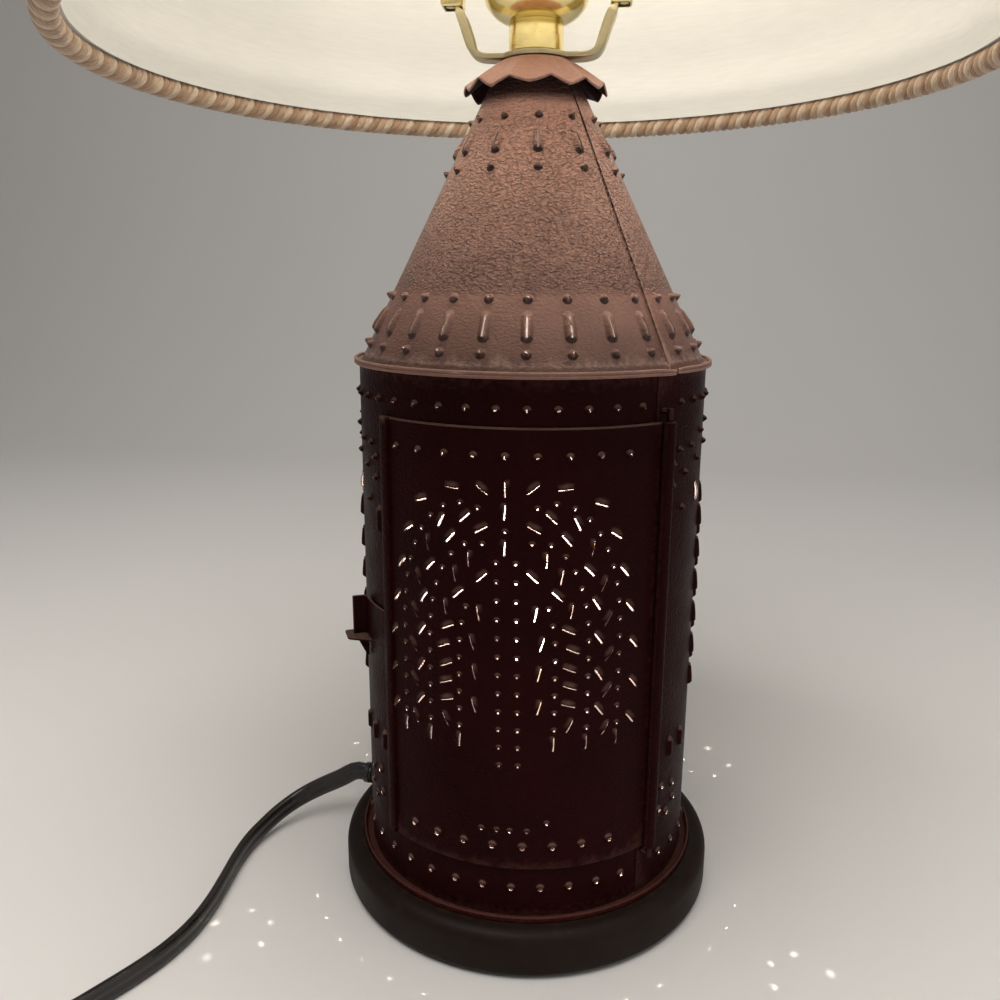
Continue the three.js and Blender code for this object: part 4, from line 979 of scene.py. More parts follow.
class EffectGroups:
    """Surface effects that several finishes share, each a node group."""

    def __init__(self) -> None:
        """Builds the groups once."""
        self.mottle = self.make("mottle", {"Scale": 0.05, "Low": 0.35, "High": 0.65}, ["Share"], self.build_mottle)
        self.hammer = self.make("hammered_skin", {"Scale": 0.6}, ["Height"], self.build_hammer)
        self.wear = self.make("worn_edges", {"Low": 0.52, "High": 0.6, "Breakup": 0.4}, ["Mask"], self.build_wear)
        self.hairlines = self.make("hairlines", {"Scale": 1.0}, ["Share", "Height"], self.build_hairlines)
        self.weave = self.make("woven_cloth", {"Pitch": 0.7, "Radius": 100.0}, ["Height", "Thread"], self.build_weave)
        self.fibres = self.make("twisted_fibres", {"Pitch": 0.5}, ["Height", "Share"], self.build_fibres)
        # The dust mask also serves as painted light from above
        self.dust = self.make("dust_and_top_light_mask", {"Scale": 0.07}, ["Mask"], self.build_dust_and_top_light)
        self.grain = self.make("wood_grain", {"Scale": 0.05}, ["Figure", "Pores"], self.build_grain)

    @staticmethod
    def make(
        name: str,
        inputs: dict[str, float],
        outputs: Sequence[str],
        build: Callable[[GroupWiring], None],
    ) -> bpy.types.NodeTree:
        """Makes one group with a Place vector, float inputs and float outputs.

        Args:
            name: the group's name.
            inputs: float inputs and their default values.
            outputs: names of the float outputs.
            build: fills the group.

        Returns:
            The group.
        """
        tree = bpy.data.node_groups.new(name, "ShaderNodeTree")
        tree.interface.new_socket("Place", in_out="INPUT", socket_type="NodeSocketVector")
        for key, value in inputs.items():
            tree.interface.new_socket(key, in_out="INPUT", socket_type="NodeSocketFloat").default_value = value
        for key in outputs:
            tree.interface.new_socket(key, in_out="OUTPUT", socket_type="NodeSocketFloat")
        build(GroupWiring(tree))
        return tree

    @staticmethod
    def build_mottle(group: GroupWiring) -> None:
        """Soft uneven patches.

        Args:
            group: the group's wiring.
        """
        noise = group.noise(group.given("Place"), group.given("Scale"), 5.0, 0.6)
        spread = group.add("ShaderNodeMapRange", {"interpolation_type": "SMOOTHSTEP"}, {
            "Value": noise, "From Min": group.given("Low"), "From Max": group.given("High")})
        group.give("Share", spread.outputs["Result"])

    @staticmethod
    def build_hammer(group: GroupWiring) -> None:
        """Small lumps of a wrinkled paint, with sharp creases between them; 1 on a lump and 0 in a crease.

        Args:
            group: the group's wiring.
        """
        warp = group.add("ShaderNodeTexNoise", None, {"Vector": group.given("Place"), "Scale": 0.75, "Detail": 1.0})
        pushed = group.add("ShaderNodeVectorMath", {"operation": "MULTIPLY_ADD"}, {
            0: warp.outputs["Color"], 1: (1.3, 1.3, 1.3), 2: group.given("Place")}).outputs[0]
        cells = group.add("ShaderNodeTexVoronoi", {"feature": "F1"}, {
            "Vector": pushed, "Scale": group.given("Scale")})
        away = cells.outputs["Distance"]
        lumps = group.noise(pushed, group.times(group.given("Scale"), 1.1), 2.0, 0.5)
        domes = group.maths("SUBTRACT", 1.0, group.times(group.times(away, away), 1.3))
        group.give("Height", group.maths("ADD", group.times(domes, 0.6), group.remap(lumps, 0.3, 0.7, 0.0, 0.4)))

    @staticmethod
    def build_dust_and_top_light(group: GroupWiring) -> None:
        """Dust that lies where a surface faces up, in uneven patches; the same mask also paints light from above.

        Args:
            group: the group's wiring.
        """
        facing = group.add("ShaderNodeNewGeometry").outputs["Normal"]
        upward = group.add("ShaderNodeSeparateXYZ", None, {0: facing}).outputs[2]
        patchy = group.noise(group.given("Place"), group.given("Scale"), 4.0, 0.6)
        fine = group.noise(group.given("Place"), 1.7, 2.0, 0.6)
        share = group.maths("ADD", group.remap(patchy, 0.3, 0.7, 0.72, 1.0),
                            group.remap(fine, 0.35, 0.65, -0.08, 0.08))
        group.give("Mask", group.times(group.remap(upward, 0.08, 0.55, 0.0, 1.0), share, True))

    @staticmethod
    def build_wear(group: GroupWiring) -> None:
        """Broken wear along raised edges; the roof and cap paints also use it for painted highlights on raised tips.

        Args:
            group: the group's wiring.
        """
        sharp = group.add("ShaderNodeNewGeometry").outputs["Pointiness"]
        broken = group.times(group.noise(group.given("Place"), group.given("Breakup"), 4.0), 0.12)
        shifted = group.maths("SUBTRACT", group.maths("ADD", sharp, broken), 0.06)
        spread = group.add("ShaderNodeMapRange", {"interpolation_type": "SMOOTHSTEP"}, {
            "Value": shifted, "From Min": group.given("Low"), "From Max": group.given("High")})
        group.give("Mask", spread.outputs["Result"])

    @staticmethod
    def build_hairlines(group: GroupWiring) -> None:
        """Fine polishing lines that run round a turned piece.

        Args:
            group: the group's wiring.
        """
        thin = group.stretch(group.given("Place"), (0.25, 0.25, 9.0))
        lines = group.noise(thin, group.given("Scale"), 4.0, 0.7)
        smudge = group.noise(group.given("Place"), 0.12, 3.0)
        group.give("Share", lines)
        group.give("Height", group.maths("ADD", lines, group.times(smudge, 0.2)))

    @staticmethod
    def build_weave(group: GroupWiring) -> None:
        """Threads that cross round and up a shade.

        Args:
            group: the group's wiring.
        """
        parts = group.add("ShaderNodeSeparateXYZ", None, {0: group.given("Place")})
        angle = group.maths("ARCTAN2", parts.outputs[1], parts.outputs[0])
        across = group.maths("DIVIDE", group.times(angle, group.given("Radius")), group.given("Pitch"))
        upward = group.maths("DIVIDE", parts.outputs[2], group.given("Pitch"))
        uneven = group.noise(group.stretch(group.given("Place"), (0.1, 0.1, 1.2)), 0.9, 3.0)
        warp = group.maths("SINE", group.times(across, 2 * math.pi))
        weft = group.maths("SINE", group.times(upward, 2 * math.pi))
        crossing = group.times(warp, weft)
        group.give("Height", group.times(crossing, 0.5))
        group.give("Thread", uneven)

    @staticmethod
    def build_fibres(group: GroupWiring) -> None:
        """Fibres that run along a strand; Place is the strand's UV in millimetres.

        Args:
            group: the group's wiring.
        """
        slanted = group.stretch(group.given("Place"), (0.22, 2.2, 1.0))
        thread = group.noise(slanted, group.given("Pitch"), 3.0, 0.6)
        group.give("Height", thread)
        group.give("Share", group.remap(thread, 0.35, 0.68, 0.0, 1.0))

    @staticmethod
    def build_grain(group: GroupWiring) -> None:
        """Long figure and short pores of a plank.

        Args:
            group: the group's wiring.
        """
        plank = group.stretch(group.given("Place"), (0.12, 1.0, 1.0))
        figure = group.noise(plank, group.given("Scale"), 5.0, 0.6)
        pores = group.noise(group.stretch(group.given("Place"), (0.08, 1.6, 1.6)), 0.9, 2.0, 0.6)
        group.give("Figure", group.remap(figure, 0.3, 0.7, 0.0, 1.0))
        group.give("Pores", group.remap(pores, 0.3, 0.5, 0.0, 1.0))


class Coat(Wiring):
    """Wiring of one material, with its shader, the place on the lamp in millimetres and the shared effects."""

    def __init__(self, finish: Finish, effects: EffectGroups | None = None) -> None:
        """Makes the material with its shader and output.

        Args:
            finish: the finish.
            effects: the shared effects, if the finish uses any.
        """
        self.material = bpy.data.materials.new(finish.name)
        self.material.use_nodes = True
        self.material.node_tree.nodes.clear()
        super().__init__(self.material.node_tree)
        self.effects = effects
        self.shader = self.add("ShaderNodeBsdfPrincipled", None, {
            "Base Color": opaque(finish.colour), "Roughness": finish.roughness, "Metallic": finish.metallic})
        self.add("ShaderNodeOutputMaterial", None, {"Surface": self.shader.outputs["BSDF"]})
        self.place = self.stretch(self.add("ShaderNodeTexCoord").outputs["Object"], (1 / MM,) * 3)

    def set(self, key: str, value: object) -> None:
        """Sets or links an input of the shader."""
        self.feed(self.shader, key, value)

    def use(self, group: bpy.types.NodeTree, place: Output, **values: float) -> Node:
        """Places a shared effect with its own values."""
        return self.add("ShaderNodeGroup", {"node_tree": group}, {"Place": place, **values})


@dataclass(frozen=True)
class Finish:
    """A finish: its name, its main colour and the values that its shader keeps all over."""

    name: str
    colour: Colour
    roughness: float = 0.5
    metallic: float = 0.0

    def make(self, effects: EffectGroups) -> Material:
        """Makes the material.

        Args:
            effects: the shared effects.

        Returns:
            The material.
        """
        coat = Coat(self, effects)
        self.lay(coat)
        return coat.material

    def lay(self, coat: Coat) -> None:
        """Lays a plain moulded finish with soft unevenness.

        Args:
            coat: the material's wiring.
        """
        place = coat.place
        patch = coat.use(coat.effects.mottle, place, Scale=0.08).outputs["Share"]
        coat.set("Base Color", coat.blend(patch, shade(self.colour, 0.86), shade(self.colour, 1.12)))
        coat.set("Roughness", coat.remap(patch, 0, 1, self.roughness - 0.05, self.roughness + 0.07))
        fine = coat.noise(place, 1.4, 3.0)
        coat.set("Normal", coat.bump(fine, 0.05, 0.5))


def shade(colour: Colour, factor: float) -> Colour:
    """A colour made darker or lighter."""
    return tuple(min(channel * factor, 1.0) for channel in colour)


@dataclass(frozen=True)
class TinPaint(Finish):
    """Satin paint on tin, wrinkled between two heights, with wear along raised edges and dust where it faces up. Dust
    and wear also carry painted light: lighter facing up, up the roof and on tips and crests; painted shade darkens
    creases and the roof under the cap.
    """

    wrinkled: Pair = (0.0, 0.0)
    # Colour of edge wear, also a painted highlight on raised tips and wrinkle crests
    wear_and_highlight: Colour = (0.10, 0.04, 0.032)
    wear_and_highlight_share: float = 0.35
    # Colour of the dust on up-facing faces, which also stands for painted light from above
    dust: Colour = (0.33, 0.20, 0.16)
    dust_and_light_share: float = 0.4
    # Painted light: foot, top and growth of a dust share that grows with height, for the bulb's light on the upper roof
    painted_light_rise: Triple = (0.0, 1.0, 1.0)
    # Height above which painted shade takes the dust away, for the shade under the cap
    painted_shade_above: float = 1000.0
    specular: float = 0.03

    def lay(self, coat: Coat) -> None:
        """Lays the paint.

        Args:
            coat: the material's wiring.
        """
        place = coat.place
        patch = coat.use(coat.effects.mottle, place, Scale=0.045, Low=0.3, High=0.7).outputs["Share"]
        streaks = coat.noise(coat.stretch(place, (1.0, 1.0, 0.12)), 0.25, 4.0)
        tone = coat.blend(patch, shade(self.colour, 0.86), shade(self.colour, 1.14))
        tone = coat.blend(coat.remap(streaks, 0.5, 0.75, 0.0, 0.3), tone, shade(self.colour, 0.62))
        height = coat.add("ShaderNodeSeparateXYZ", None, {0: place}).outputs[2]
        # Dust on up-facing faces, which also paints light from above: tops lighter, undersides and flanks darker
        dust_and_top_light = coat.use(coat.effects.dust, place, Scale=0.07).outputs["Mask"]
        # Painted light: the dust share grows with height, so the upper roof is lighter
        foot, top, growth = self.painted_light_rise
        dust_and_light = coat.remap(height, foot, top, self.dust_and_light_share, self.dust_and_light_share * growth)
        # Painted shade: above this height the dust is taken away, so the roof is dark under the cap
        clear_of_painted_shade = coat.remap(height, self.painted_shade_above - 4.0, self.painted_shade_above, 1.0, 0.05)
        tone = coat.blend(coat.times(dust_and_top_light, coat.times(dust_and_light, clear_of_painted_shade), True), tone, self.dust)
        # Edge wear; on the roof and cap it is also a painted highlight on raised tips
        edge = coat.use(coat.effects.wear, place, Low=0.535, High=0.61, Breakup=0.5).outputs["Mask"]
        tone = coat.blend(coat.times(edge, self.wear_and_highlight_share), tone, self.wear_and_highlight)
        skin = coat.use(coat.effects.hammer, coat.stretch(place, (0.8, 0.8, 1.3)), Scale=1.05).outputs["Height"]
        low, high = self.wrinkled
        depth = 0.12
        if high > low:
            rise = coat.remap(height, low, low + 3.0, 0.14, 1.0)
            fall = coat.remap(height, high - 5.0, high, 1.0, 0.3)
            depth = coat.times(rise, fall)
            # Painted highlight on the crests of the wrinkles
            crest = coat.times(coat.remap(skin, 0.68, 0.92, 0.0, 0.26), depth)
            tone = coat.blend(crest, tone, self.wear_and_highlight)
        # Painted shade in the creases of the paint
        crease_shade = coat.times(coat.remap(skin, 0.38, 0.7, 0.26, 0.0), depth)
        coat.set("Base Color", coat.blend(crease_shade, tone, shade(self.colour, 0.8)))
        rough = coat.remap(patch, 0.0, 1.0, self.roughness - 0.06, self.roughness + 0.08)
        coat.set("Roughness", coat.maths("SUBTRACT", rough, coat.times(edge, 0.12)))
        drawn = coat.noise(coat.stretch(place, (1.0, 1.0, 0.3)), 0.9, 3.0)
        grain = coat.bump(drawn, 0.16, 0.5)
        coat.set("Normal", coat.bump(coat.times(skin, depth), 1.0, 1.5, grain))
        coat.set("Specular IOR Level", self.specular)


@dataclass(frozen=True)
class TurnedMetal(Finish):
    """Polished or plated metal with fine lines round it and soft tarnish."""

    tarnish: Colour = (0.3, 0.2, 0.1)
    tarnish_share: float = 0.25

    def lay(self, coat: Coat) -> None:
        """Lays the metal.

        Args:
            coat: the material's wiring.
        """
        place = coat.place
        lines = coat.use(coat.effects.hairlines, place, Scale=1.0)
        patch = coat.use(coat.effects.mottle, place, Scale=0.11, Low=0.45, High=0.75).outputs["Share"]
        share = coat.times(patch, self.tarnish_share)
        coat.set("Base Color", coat.blend(share, self.colour, self.tarnish))
        rough = coat.remap(lines.outputs["Height"], 0.3, 0.8, self.roughness - 0.05, self.roughness + 0.1)
        coat.set("Roughness", coat.maths("ADD", rough, coat.times(share, 0.3)))
        coat.set("Normal", coat.bump(lines.outputs["Height"], 0.02, 0.25))


@dataclass(frozen=True)
class StainedWood(Finish):
    """Dark stained wood under satin varnish, rubbed brown along its edges."""

    rubbed: Colour = (0.04, 0.024, 0.015)

    def lay(self, coat: Coat) -> None:
        """Lays the wood.

        Args:
            coat: the material's wiring.
        """
        place = coat.place
        grain = coat.use(coat.effects.grain, place, Scale=0.06)
        tone = coat.blend(grain.outputs["Figure"], shade(self.colour, 0.7), shade(self.colour, 1.35))
        edge = coat.use(coat.effects.wear, place, Low=0.52, High=0.58, Breakup=0.25).outputs["Mask"]
        tone = coat.blend(coat.times(edge, 0.6), tone, self.rubbed)
        coat.set("Base Color", tone)
        dust = coat.use(coat.effects.mottle, place, Scale=0.03).outputs["Share"]
        coat.set("Roughness", coat.remap(dust, 0, 1, self.roughness - 0.06, self.roughness + 0.1))
        height = coat.maths("SUBTRACT", coat.times(grain.outputs["Figure"], 0.4),
                            coat.times(grain.outputs["Pores"], 0.3))
        coat.set("Normal", coat.bump(height, 0.15, 0.5))
        coat.set("Specular IOR Level", 0.1)
        coat.set("Coat Weight", 0.03)
        coat.set("Coat Roughness", 0.3)


@dataclass(frozen=True)
class ShadeCloth(Finish):
    """Cloth or lining of the shade, with threads, and a painted emission that stands for the bulb's light on it and
    through it.
    """

    pitch: float = 0.6
    painted_glow: float = 0.0
    depth: float = 0.12

    def lay(self, coat: Coat) -> None:
        """Lays the cloth.

        Args:
            coat: the material's wiring.
        """
        place = coat.place
        weave = coat.use(coat.effects.weave, place, Pitch=self.pitch, Radius=100.0)
        patch = coat.use(coat.effects.mottle, place, Scale=0.02, Low=0.25, High=0.75).outputs["Share"]
        tone = coat.blend(weave.outputs["Thread"], shade(self.colour, 0.9), shade(self.colour, 1.06))
        tone = coat.blend(coat.times(patch, 0.25), tone, shade(self.colour, 0.88))
        coat.set("Base Color", tone)
        coat.set("Roughness", coat.remap(patch, 0, 1, self.roughness - 0.04, self.roughness + 0.04))
        coat.set("Normal", coat.bump(weave.outputs["Height"], self.depth, 0.5))
        # Painted light: an even emission on the cloth for the bulb's light on and through it
        if self.painted_glow:
            coat.set("Emission Color", tone)
            coat.set("Emission Strength", self.painted_glow)


@dataclass(frozen=True)
class Strand(Finish):
    """Twisted yarn with fibres along each strand."""

    light: Colour = (0.6, 0.45, 0.3)

    def lay(self, coat: Coat) -> None:
        """Lays the yarn.

        Args:
            coat: the material's wiring.
        """
        strand = coat.add("ShaderNodeUVMap", {"uv_map": "UVMap"}).outputs["UV"]
        fibres = coat.use(coat.effects.fibres, strand, Pitch=1.4)
        patch = coat.use(coat.effects.mottle, coat.place, Scale=0.05).outputs["Share"]
        tone = coat.blend(fibres.outputs["Share"], shade(self.colour, 0.75), self.light)
        coat.set("Base Color", coat.blend(coat.times(patch, 0.3), tone, shade(self.colour, 0.7)))
        coat.set("Roughness", coat.remap(fibres.outputs["Height"], 0.3, 0.7, 0.95, 0.75))
        coat.set("Normal", coat.bump(fibres.outputs["Height"], 0.35, 0.9))
        coat.set("Sheen Weight", 0.3)


@dataclass(frozen=True)
class LitGlass(Finish):
    """Frosted glass of a bulb that is on."""

    strength: float = 4.0

    def lay(self, coat: Coat) -> None:
        """Lays the glass.

        Args:
            coat: the material's wiring.
        """
        place = coat.place
        frost = coat.use(coat.effects.mottle, place, Scale=0.2).outputs["Share"]
        coat.set("Emission Color", coat.blend(frost, self.colour, shade(self.colour, 0.92)))
        coat.set("Roughness", coat.remap(frost, 0, 1, self.roughness, self.roughness + 0.1))
        coat.set("Normal", coat.bump(coat.noise(place, 2.5, 2.0), 0.03, 0.4))
        coat.set("Emission Strength", self.strength)


@dataclass(frozen=True)
class Vinyl(Finish):
    """Smooth vinyl of the cord, with faint drawing lines and dull patches."""

    def lay(self, coat: Coat) -> None:
        """Lays the vinyl.

        Args:
            coat: the material's wiring.
        """
        place = coat.place
        patch = coat.use(coat.effects.mottle, place, Scale=0.06).outputs["Share"]
        coat.set("Base Color", coat.blend(patch, shade(self.colour, 0.8), shade(self.colour, 1.5)))
        coat.set("Roughness", coat.remap(patch, 0, 1, self.roughness - 0.06, self.roughness + 0.12))
        coat.set("Normal", coat.bump(coat.noise(place, 0.7, 3.0), 0.08, 0.4))


@dataclass(frozen=True)
class Felt(Finish):
    """Short matted fibres."""

    def lay(self, coat: Coat) -> None:
        """Lays the felt.

        Args:
            coat: the material's wiring.
        """
        place = coat.place
        mat = coat.noise(place, 1.2, 6.0, 0.75)
        coat.set("Base Color", coat.blend(mat, shade(self.colour, 0.6), shade(self.colour, 1.5)))
        coat.set("Normal", coat.bump(mat, 0.5, 1.0))
        coat.set("Sheen Weight", 0.5)


class Finishes:
    """All finishes of the lamp, made once."""

    def __init__(self) -> None:
        """Makes the shared effects and every material."""
        effects = EffectGroups()
        oxblood: Colour = (0.017, 0.0023, 0.0025)
        # Colour of the roof's dust, which also stands for painted light from the bulb
        dust_and_light: Colour = (0.72, 0.385, 0.295)
        # Pale colour of edge wear and of painted highlights
        pale_wear_and_highlight: Colour = (0.64, 0.42, 0.34)
        # The roof, cap and bead take lighter copies of the body's paint: painted light from the bulb
        self.lit_roof_paint = TinPaint("lit_roof_paint", (0.042, 0.012, 0.010), 0.4, wrinkled=(210.0, 266.0), dust=dust_and_light,
                                   dust_and_light_share=0.24, painted_light_rise=(190.0, 256.0, 6.6), wear_and_highlight=pale_wear_and_highlight, wear_and_highlight_share=0.5,
                                   painted_shade_above=269.0, specular=0.45).make(effects)
        # The cap's lighter copy of the paint is painted light from the bulb
        self.lit_cap_paint = TinPaint("lit_cap_paint", (0.10, 0.032, 0.024), 0.45, dust=(0.52, 0.27, 0.20), dust_and_light_share=0.95,
                                  wear_and_highlight=(0.85, 0.56, 0.46), wear_and_highlight_share=0.35, specular=0.3).make(effects)
        # The bead's lighter copy of the paint is a painted highlight along it
        self.lit_rim_paint = TinPaint("lit_rim_paint", (0.25, 0.125, 0.097), 0.45, dust=pale_wear_and_highlight, wear_and_highlight=pale_wear_and_highlight,
                                  specular=0.3).make(effects)
        self.tin_paint = TinPaint("tin_paint", oxblood, 0.4).make(effects)
        self.pan_paint = TinPaint("pan_paint", (0.035, 0.0045, 0.004), 0.42, dust_and_light_share=0.1).make(effects)
        self.bare_tin = TurnedMetal("inside_tin", (0.18, 0.14, 0.128), 0.55, 0.0, tarnish=(0.12, 0.068, 0.058),
                                    tarnish_share=1.0).make(effects)
        self.wood = StainedWood("dark_wood", (0.0115, 0.0062, 0.0045), 0.55).make(effects)
        self.felt = Felt("felt", (0.03, 0.06, 0.03), 0.95).make(effects)
        self.brass = TurnedMetal("polished_brass", (0.92, 0.77, 0.37), 0.17, 1.0,
                                 tarnish=(0.55, 0.33, 0.10)).make(effects)
        self.saddle = TurnedMetal("saddle_plate", (0.60, 0.52, 0.32), 0.26, 1.0, tarnish=(0.34, 0.28, 0.18),
                                  tarnish_share=0.5).make(effects)
        self.steel = TurnedMetal("plated_steel", (0.52, 0.50, 0.46), 0.32, 1.0, tarnish=(0.28, 0.24, 0.2)).make(effects)
        self.phenolic = Finish("black_phenolic", (0.012, 0.010, 0.009), 0.35).make(effects)
        self.card = Finish("fibre_card", (0.42, 0.34, 0.23), 0.85).make(effects)
        self.candle = Finish("candle_card", (0.82, 0.74, 0.56), 0.55).make(effects)
        # The linen and the lining carry painted light, an even emission for the bulb
        self.linen = ShadeCloth("shade_linen", (0.72, 0.66, 0.54), 0.9, painted_glow=0.18).make(effects)
        self.lining = ShadeCloth("shade_lining", (0.68, 0.67, 0.63), 0.6, pitch=0.45, depth=0.05,
                                 painted_glow=0.15).make(effects)
        self.strands = [
            Strand("tan_strand", (0.45, 0.29, 0.18), 0.9, light=(0.60, 0.43, 0.29)).make(effects),
            Strand("cream_strand", (0.60, 0.45, 0.32), 0.9, light=(0.74, 0.60, 0.46)).make(effects),
            Strand("brown_strand", (0.33, 0.19, 0.11), 0.9, light=(0.50, 0.33, 0.21)).make(effects),
        ]
        self.bulb = LitGlass("lit_bulb", (1.0, 0.90, 0.74), 0.25, strength=2.5).make(effects)
        self.night_bulb = LitGlass("lit_night_bulb", (1.0, 0.93, 0.82), 0.2, strength=14.0).make(effects)
        self.cord = Vinyl("cord_vinyl", (0.011, 0.008, 0.007), 0.3).make(effects)


# Pieces of the lamp


@dataclass
class Part:
    """A sub-assembly of the lamp: the solids of the frame, and the finishes that its pieces take."""

    nodes: dict[str, Piece]
    finishes: Finishes

    def settle(self, piece: Piece, slot: str, *nodes: str, body: str = "lamp") -> Piece:
        """Puts a piece on its body.

        Args:
            piece: the piece.
            slot: not used.
            nodes: solids that it stands for.
            body: the body it moves with.

        Returns:
            The piece.
        """
        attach(piece, body)
        if nodes:
            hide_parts(*nodes)
        log.info("%s on %s%s", piece.name, body, f", for {', '.join(nodes)}" if nodes else "")
        return piece

    def dress(self, node: str, finish: Material, bevel: float = 0.0) -> None:
        """Gives a solid that stays its finish, with rounded edges where it has hard ones.

        Args:
            node: the node.
            finish: the material.
            bevel: radius of the edges.
        """
        solid = self.nodes[node]
        solid.data.materials.clear()
        solid.data.materials.append(finish)
        solid.data.polygons.foreach_set("use_smooth", [True] * len(solid.data.polygons))
        solid.data.set_sharp_from_angle(angle=math.radians(HARD_EDGE))
        if bevel:
            soften(solid, bevel)
        log.info("%s keeps its solid", node)


@dataclass
class Base(Part):
    """Felt, turned wood base and tin pan."""

    radius: float = 67.0
    bottom: float = 1.5
    top: float = 16.6
    edge: float = 4.5
    foot_edge: float = 1.8
    recess_radius: float = 61.0
    recess: float = 15.6
    bore: float = 5.1
    pocket_radius: float = 11.4
    pocket_top: float = 9.5
    felt_radius: float = 62.0
    pan_floor: float = 16.4

    def build(self) -> None:
        """Builds the base and the pan."""
        rim = [(self.radius - self.edge + self.edge * math.sin(a), self.top - self.edge + self.edge * math.cos(a))
               for a in np.linspace(math.pi / 2, 0.0, 10)]
        foot = [(self.radius - self.foot_edge * (1 - math.cos(a)), self.bottom + self.foot_edge * (1 - math.sin(a)))
                for a in np.linspace(math.pi / 2, 0.0, 6)]
        outline = [(self.bore, self.pocket_top), (self.pocket_radius, self.pocket_top),
                   (self.pocket_radius, self.bottom), *foot, *rim, (self.recess_radius, self.top),
                   (self.recess_radius, self.recess), (self.bore, self.recess)]
        wood = Mesher.lathe("turned_base", outline, self.finishes.wood, 160)
        self.settle(wood, "dark_wood", "wood_base")
        disc = [(0, 0), (self.felt_radius, 0), (self.felt_radius, self.bottom), (0, self.bottom)]
        felt = Mesher.lathe("felt_disc", disc, self.finishes.felt, 120, 0.5)
        self.settle(felt, "green_felt", "felt_pad")
        pan = Mesher.lathe("tin_pan", [
            (self.bore, self.recess), (59.7, self.recess), (60.7, 16.6), (60.7, 18.0), (60.3, 18.4), (59.9, 18.0),
            (59.8, 16.9), (59.2, self.pan_floor), (self.bore, self.pan_floor),
        ], self.finishes.pan_paint, 160)
        self.settle(pan, "pan_paint", "bottom_pan")
        for node in ("base_washer", "base_nut", "base_nipple", "pan_locknut"):
            self.dress(node, self.finishes.steel, 0.2)


@dataclass
class NightLight(Part):
    """Candle sleeve, small socket and small bulb inside the lantern."""

    sleeve_radius: float = 11.2
    sleeve_wall: float = 1.0
    sleeve_bottom: float = 16.7
    sleeve_top: float = 80.1
    bulb_radius: float = 11.0
    neck: float = 5.6
    bulb_bottom: float = 78.5
    bulb_height: float = 38.0

    def build(self) -> None:
        """Builds the night light."""
        outside, inside = self.sleeve_radius, self.sleeve_radius - self.sleeve_wall
        low, high = self.sleeve_bottom, self.sleeve_top
        sleeve = Mesher.lathe("candle_tube", [
            (inside, low), (outside, low), (outside, high - 0.7), (outside - 0.3, high), (inside + 0.2, high),
            (inside, high - 0.5),
        ], self.finishes.candle, 64)
        self.settle(sleeve, "candle_card", "candle_sleeve")
        globe = bulb_outline(self.bulb_bottom, self.neck, self.bulb_radius, self.bulb_height)
        glass = Mesher.lathe("night_globe", globe, self.finishes.night_bulb, 48)
        self.settle(glass, "frosted_glass", "night_bulb_glass", body="night_bulb")
        glass.visible_shadow = False
        self.dress("night_bulb_cap", self.finishes.brass)
        self.dress("night_socket", self.finishes.phenolic, 0.3)
        self.nodes["night_bulb_cap"].visible_shadow = False


def bulb_outline(bottom: float, neck: float, radius: float, height: float, wall: float = 1.0) -> list[Pair]:
    """Outline of a blown glass bulb, open at its neck.

    Args:
        bottom: height of the neck's edge.
        neck: radius of the neck.
        radius: radius of the round end.
        height: height over all.
        wall: thickness of the glass.

    Returns:
        The closed outline.
    """
    centre = bottom + height - radius
    straight = bottom + 0.12 * height

    def side(inset: float) -> list[Pair]:
        """The outline at a depth in the glass.

        Args:
            inset: depth in the glass.

        Returns:
            Pairs of radius and height.
        """
        crown = [((radius - inset) * math.cos(a), centre + (radius - inset) * math.sin(a))
                 for a in np.radians(np.linspace(-34, 90, 18))]
        start = np.array([neck - inset, straight])
        join = np.array(crown[0])
        waist = [tuple((1 - t) ** 2 * start + 2 * t * (1 - t) * np.array([neck - inset, (straight + join[1]) / 2])
                       + t ** 2 * join) for t in np.linspace(0, 0.9, 6)]
        return [(neck - inset, bottom), *waist, *crown]

    return [*side(0.0), *side(wall)[::-1]]


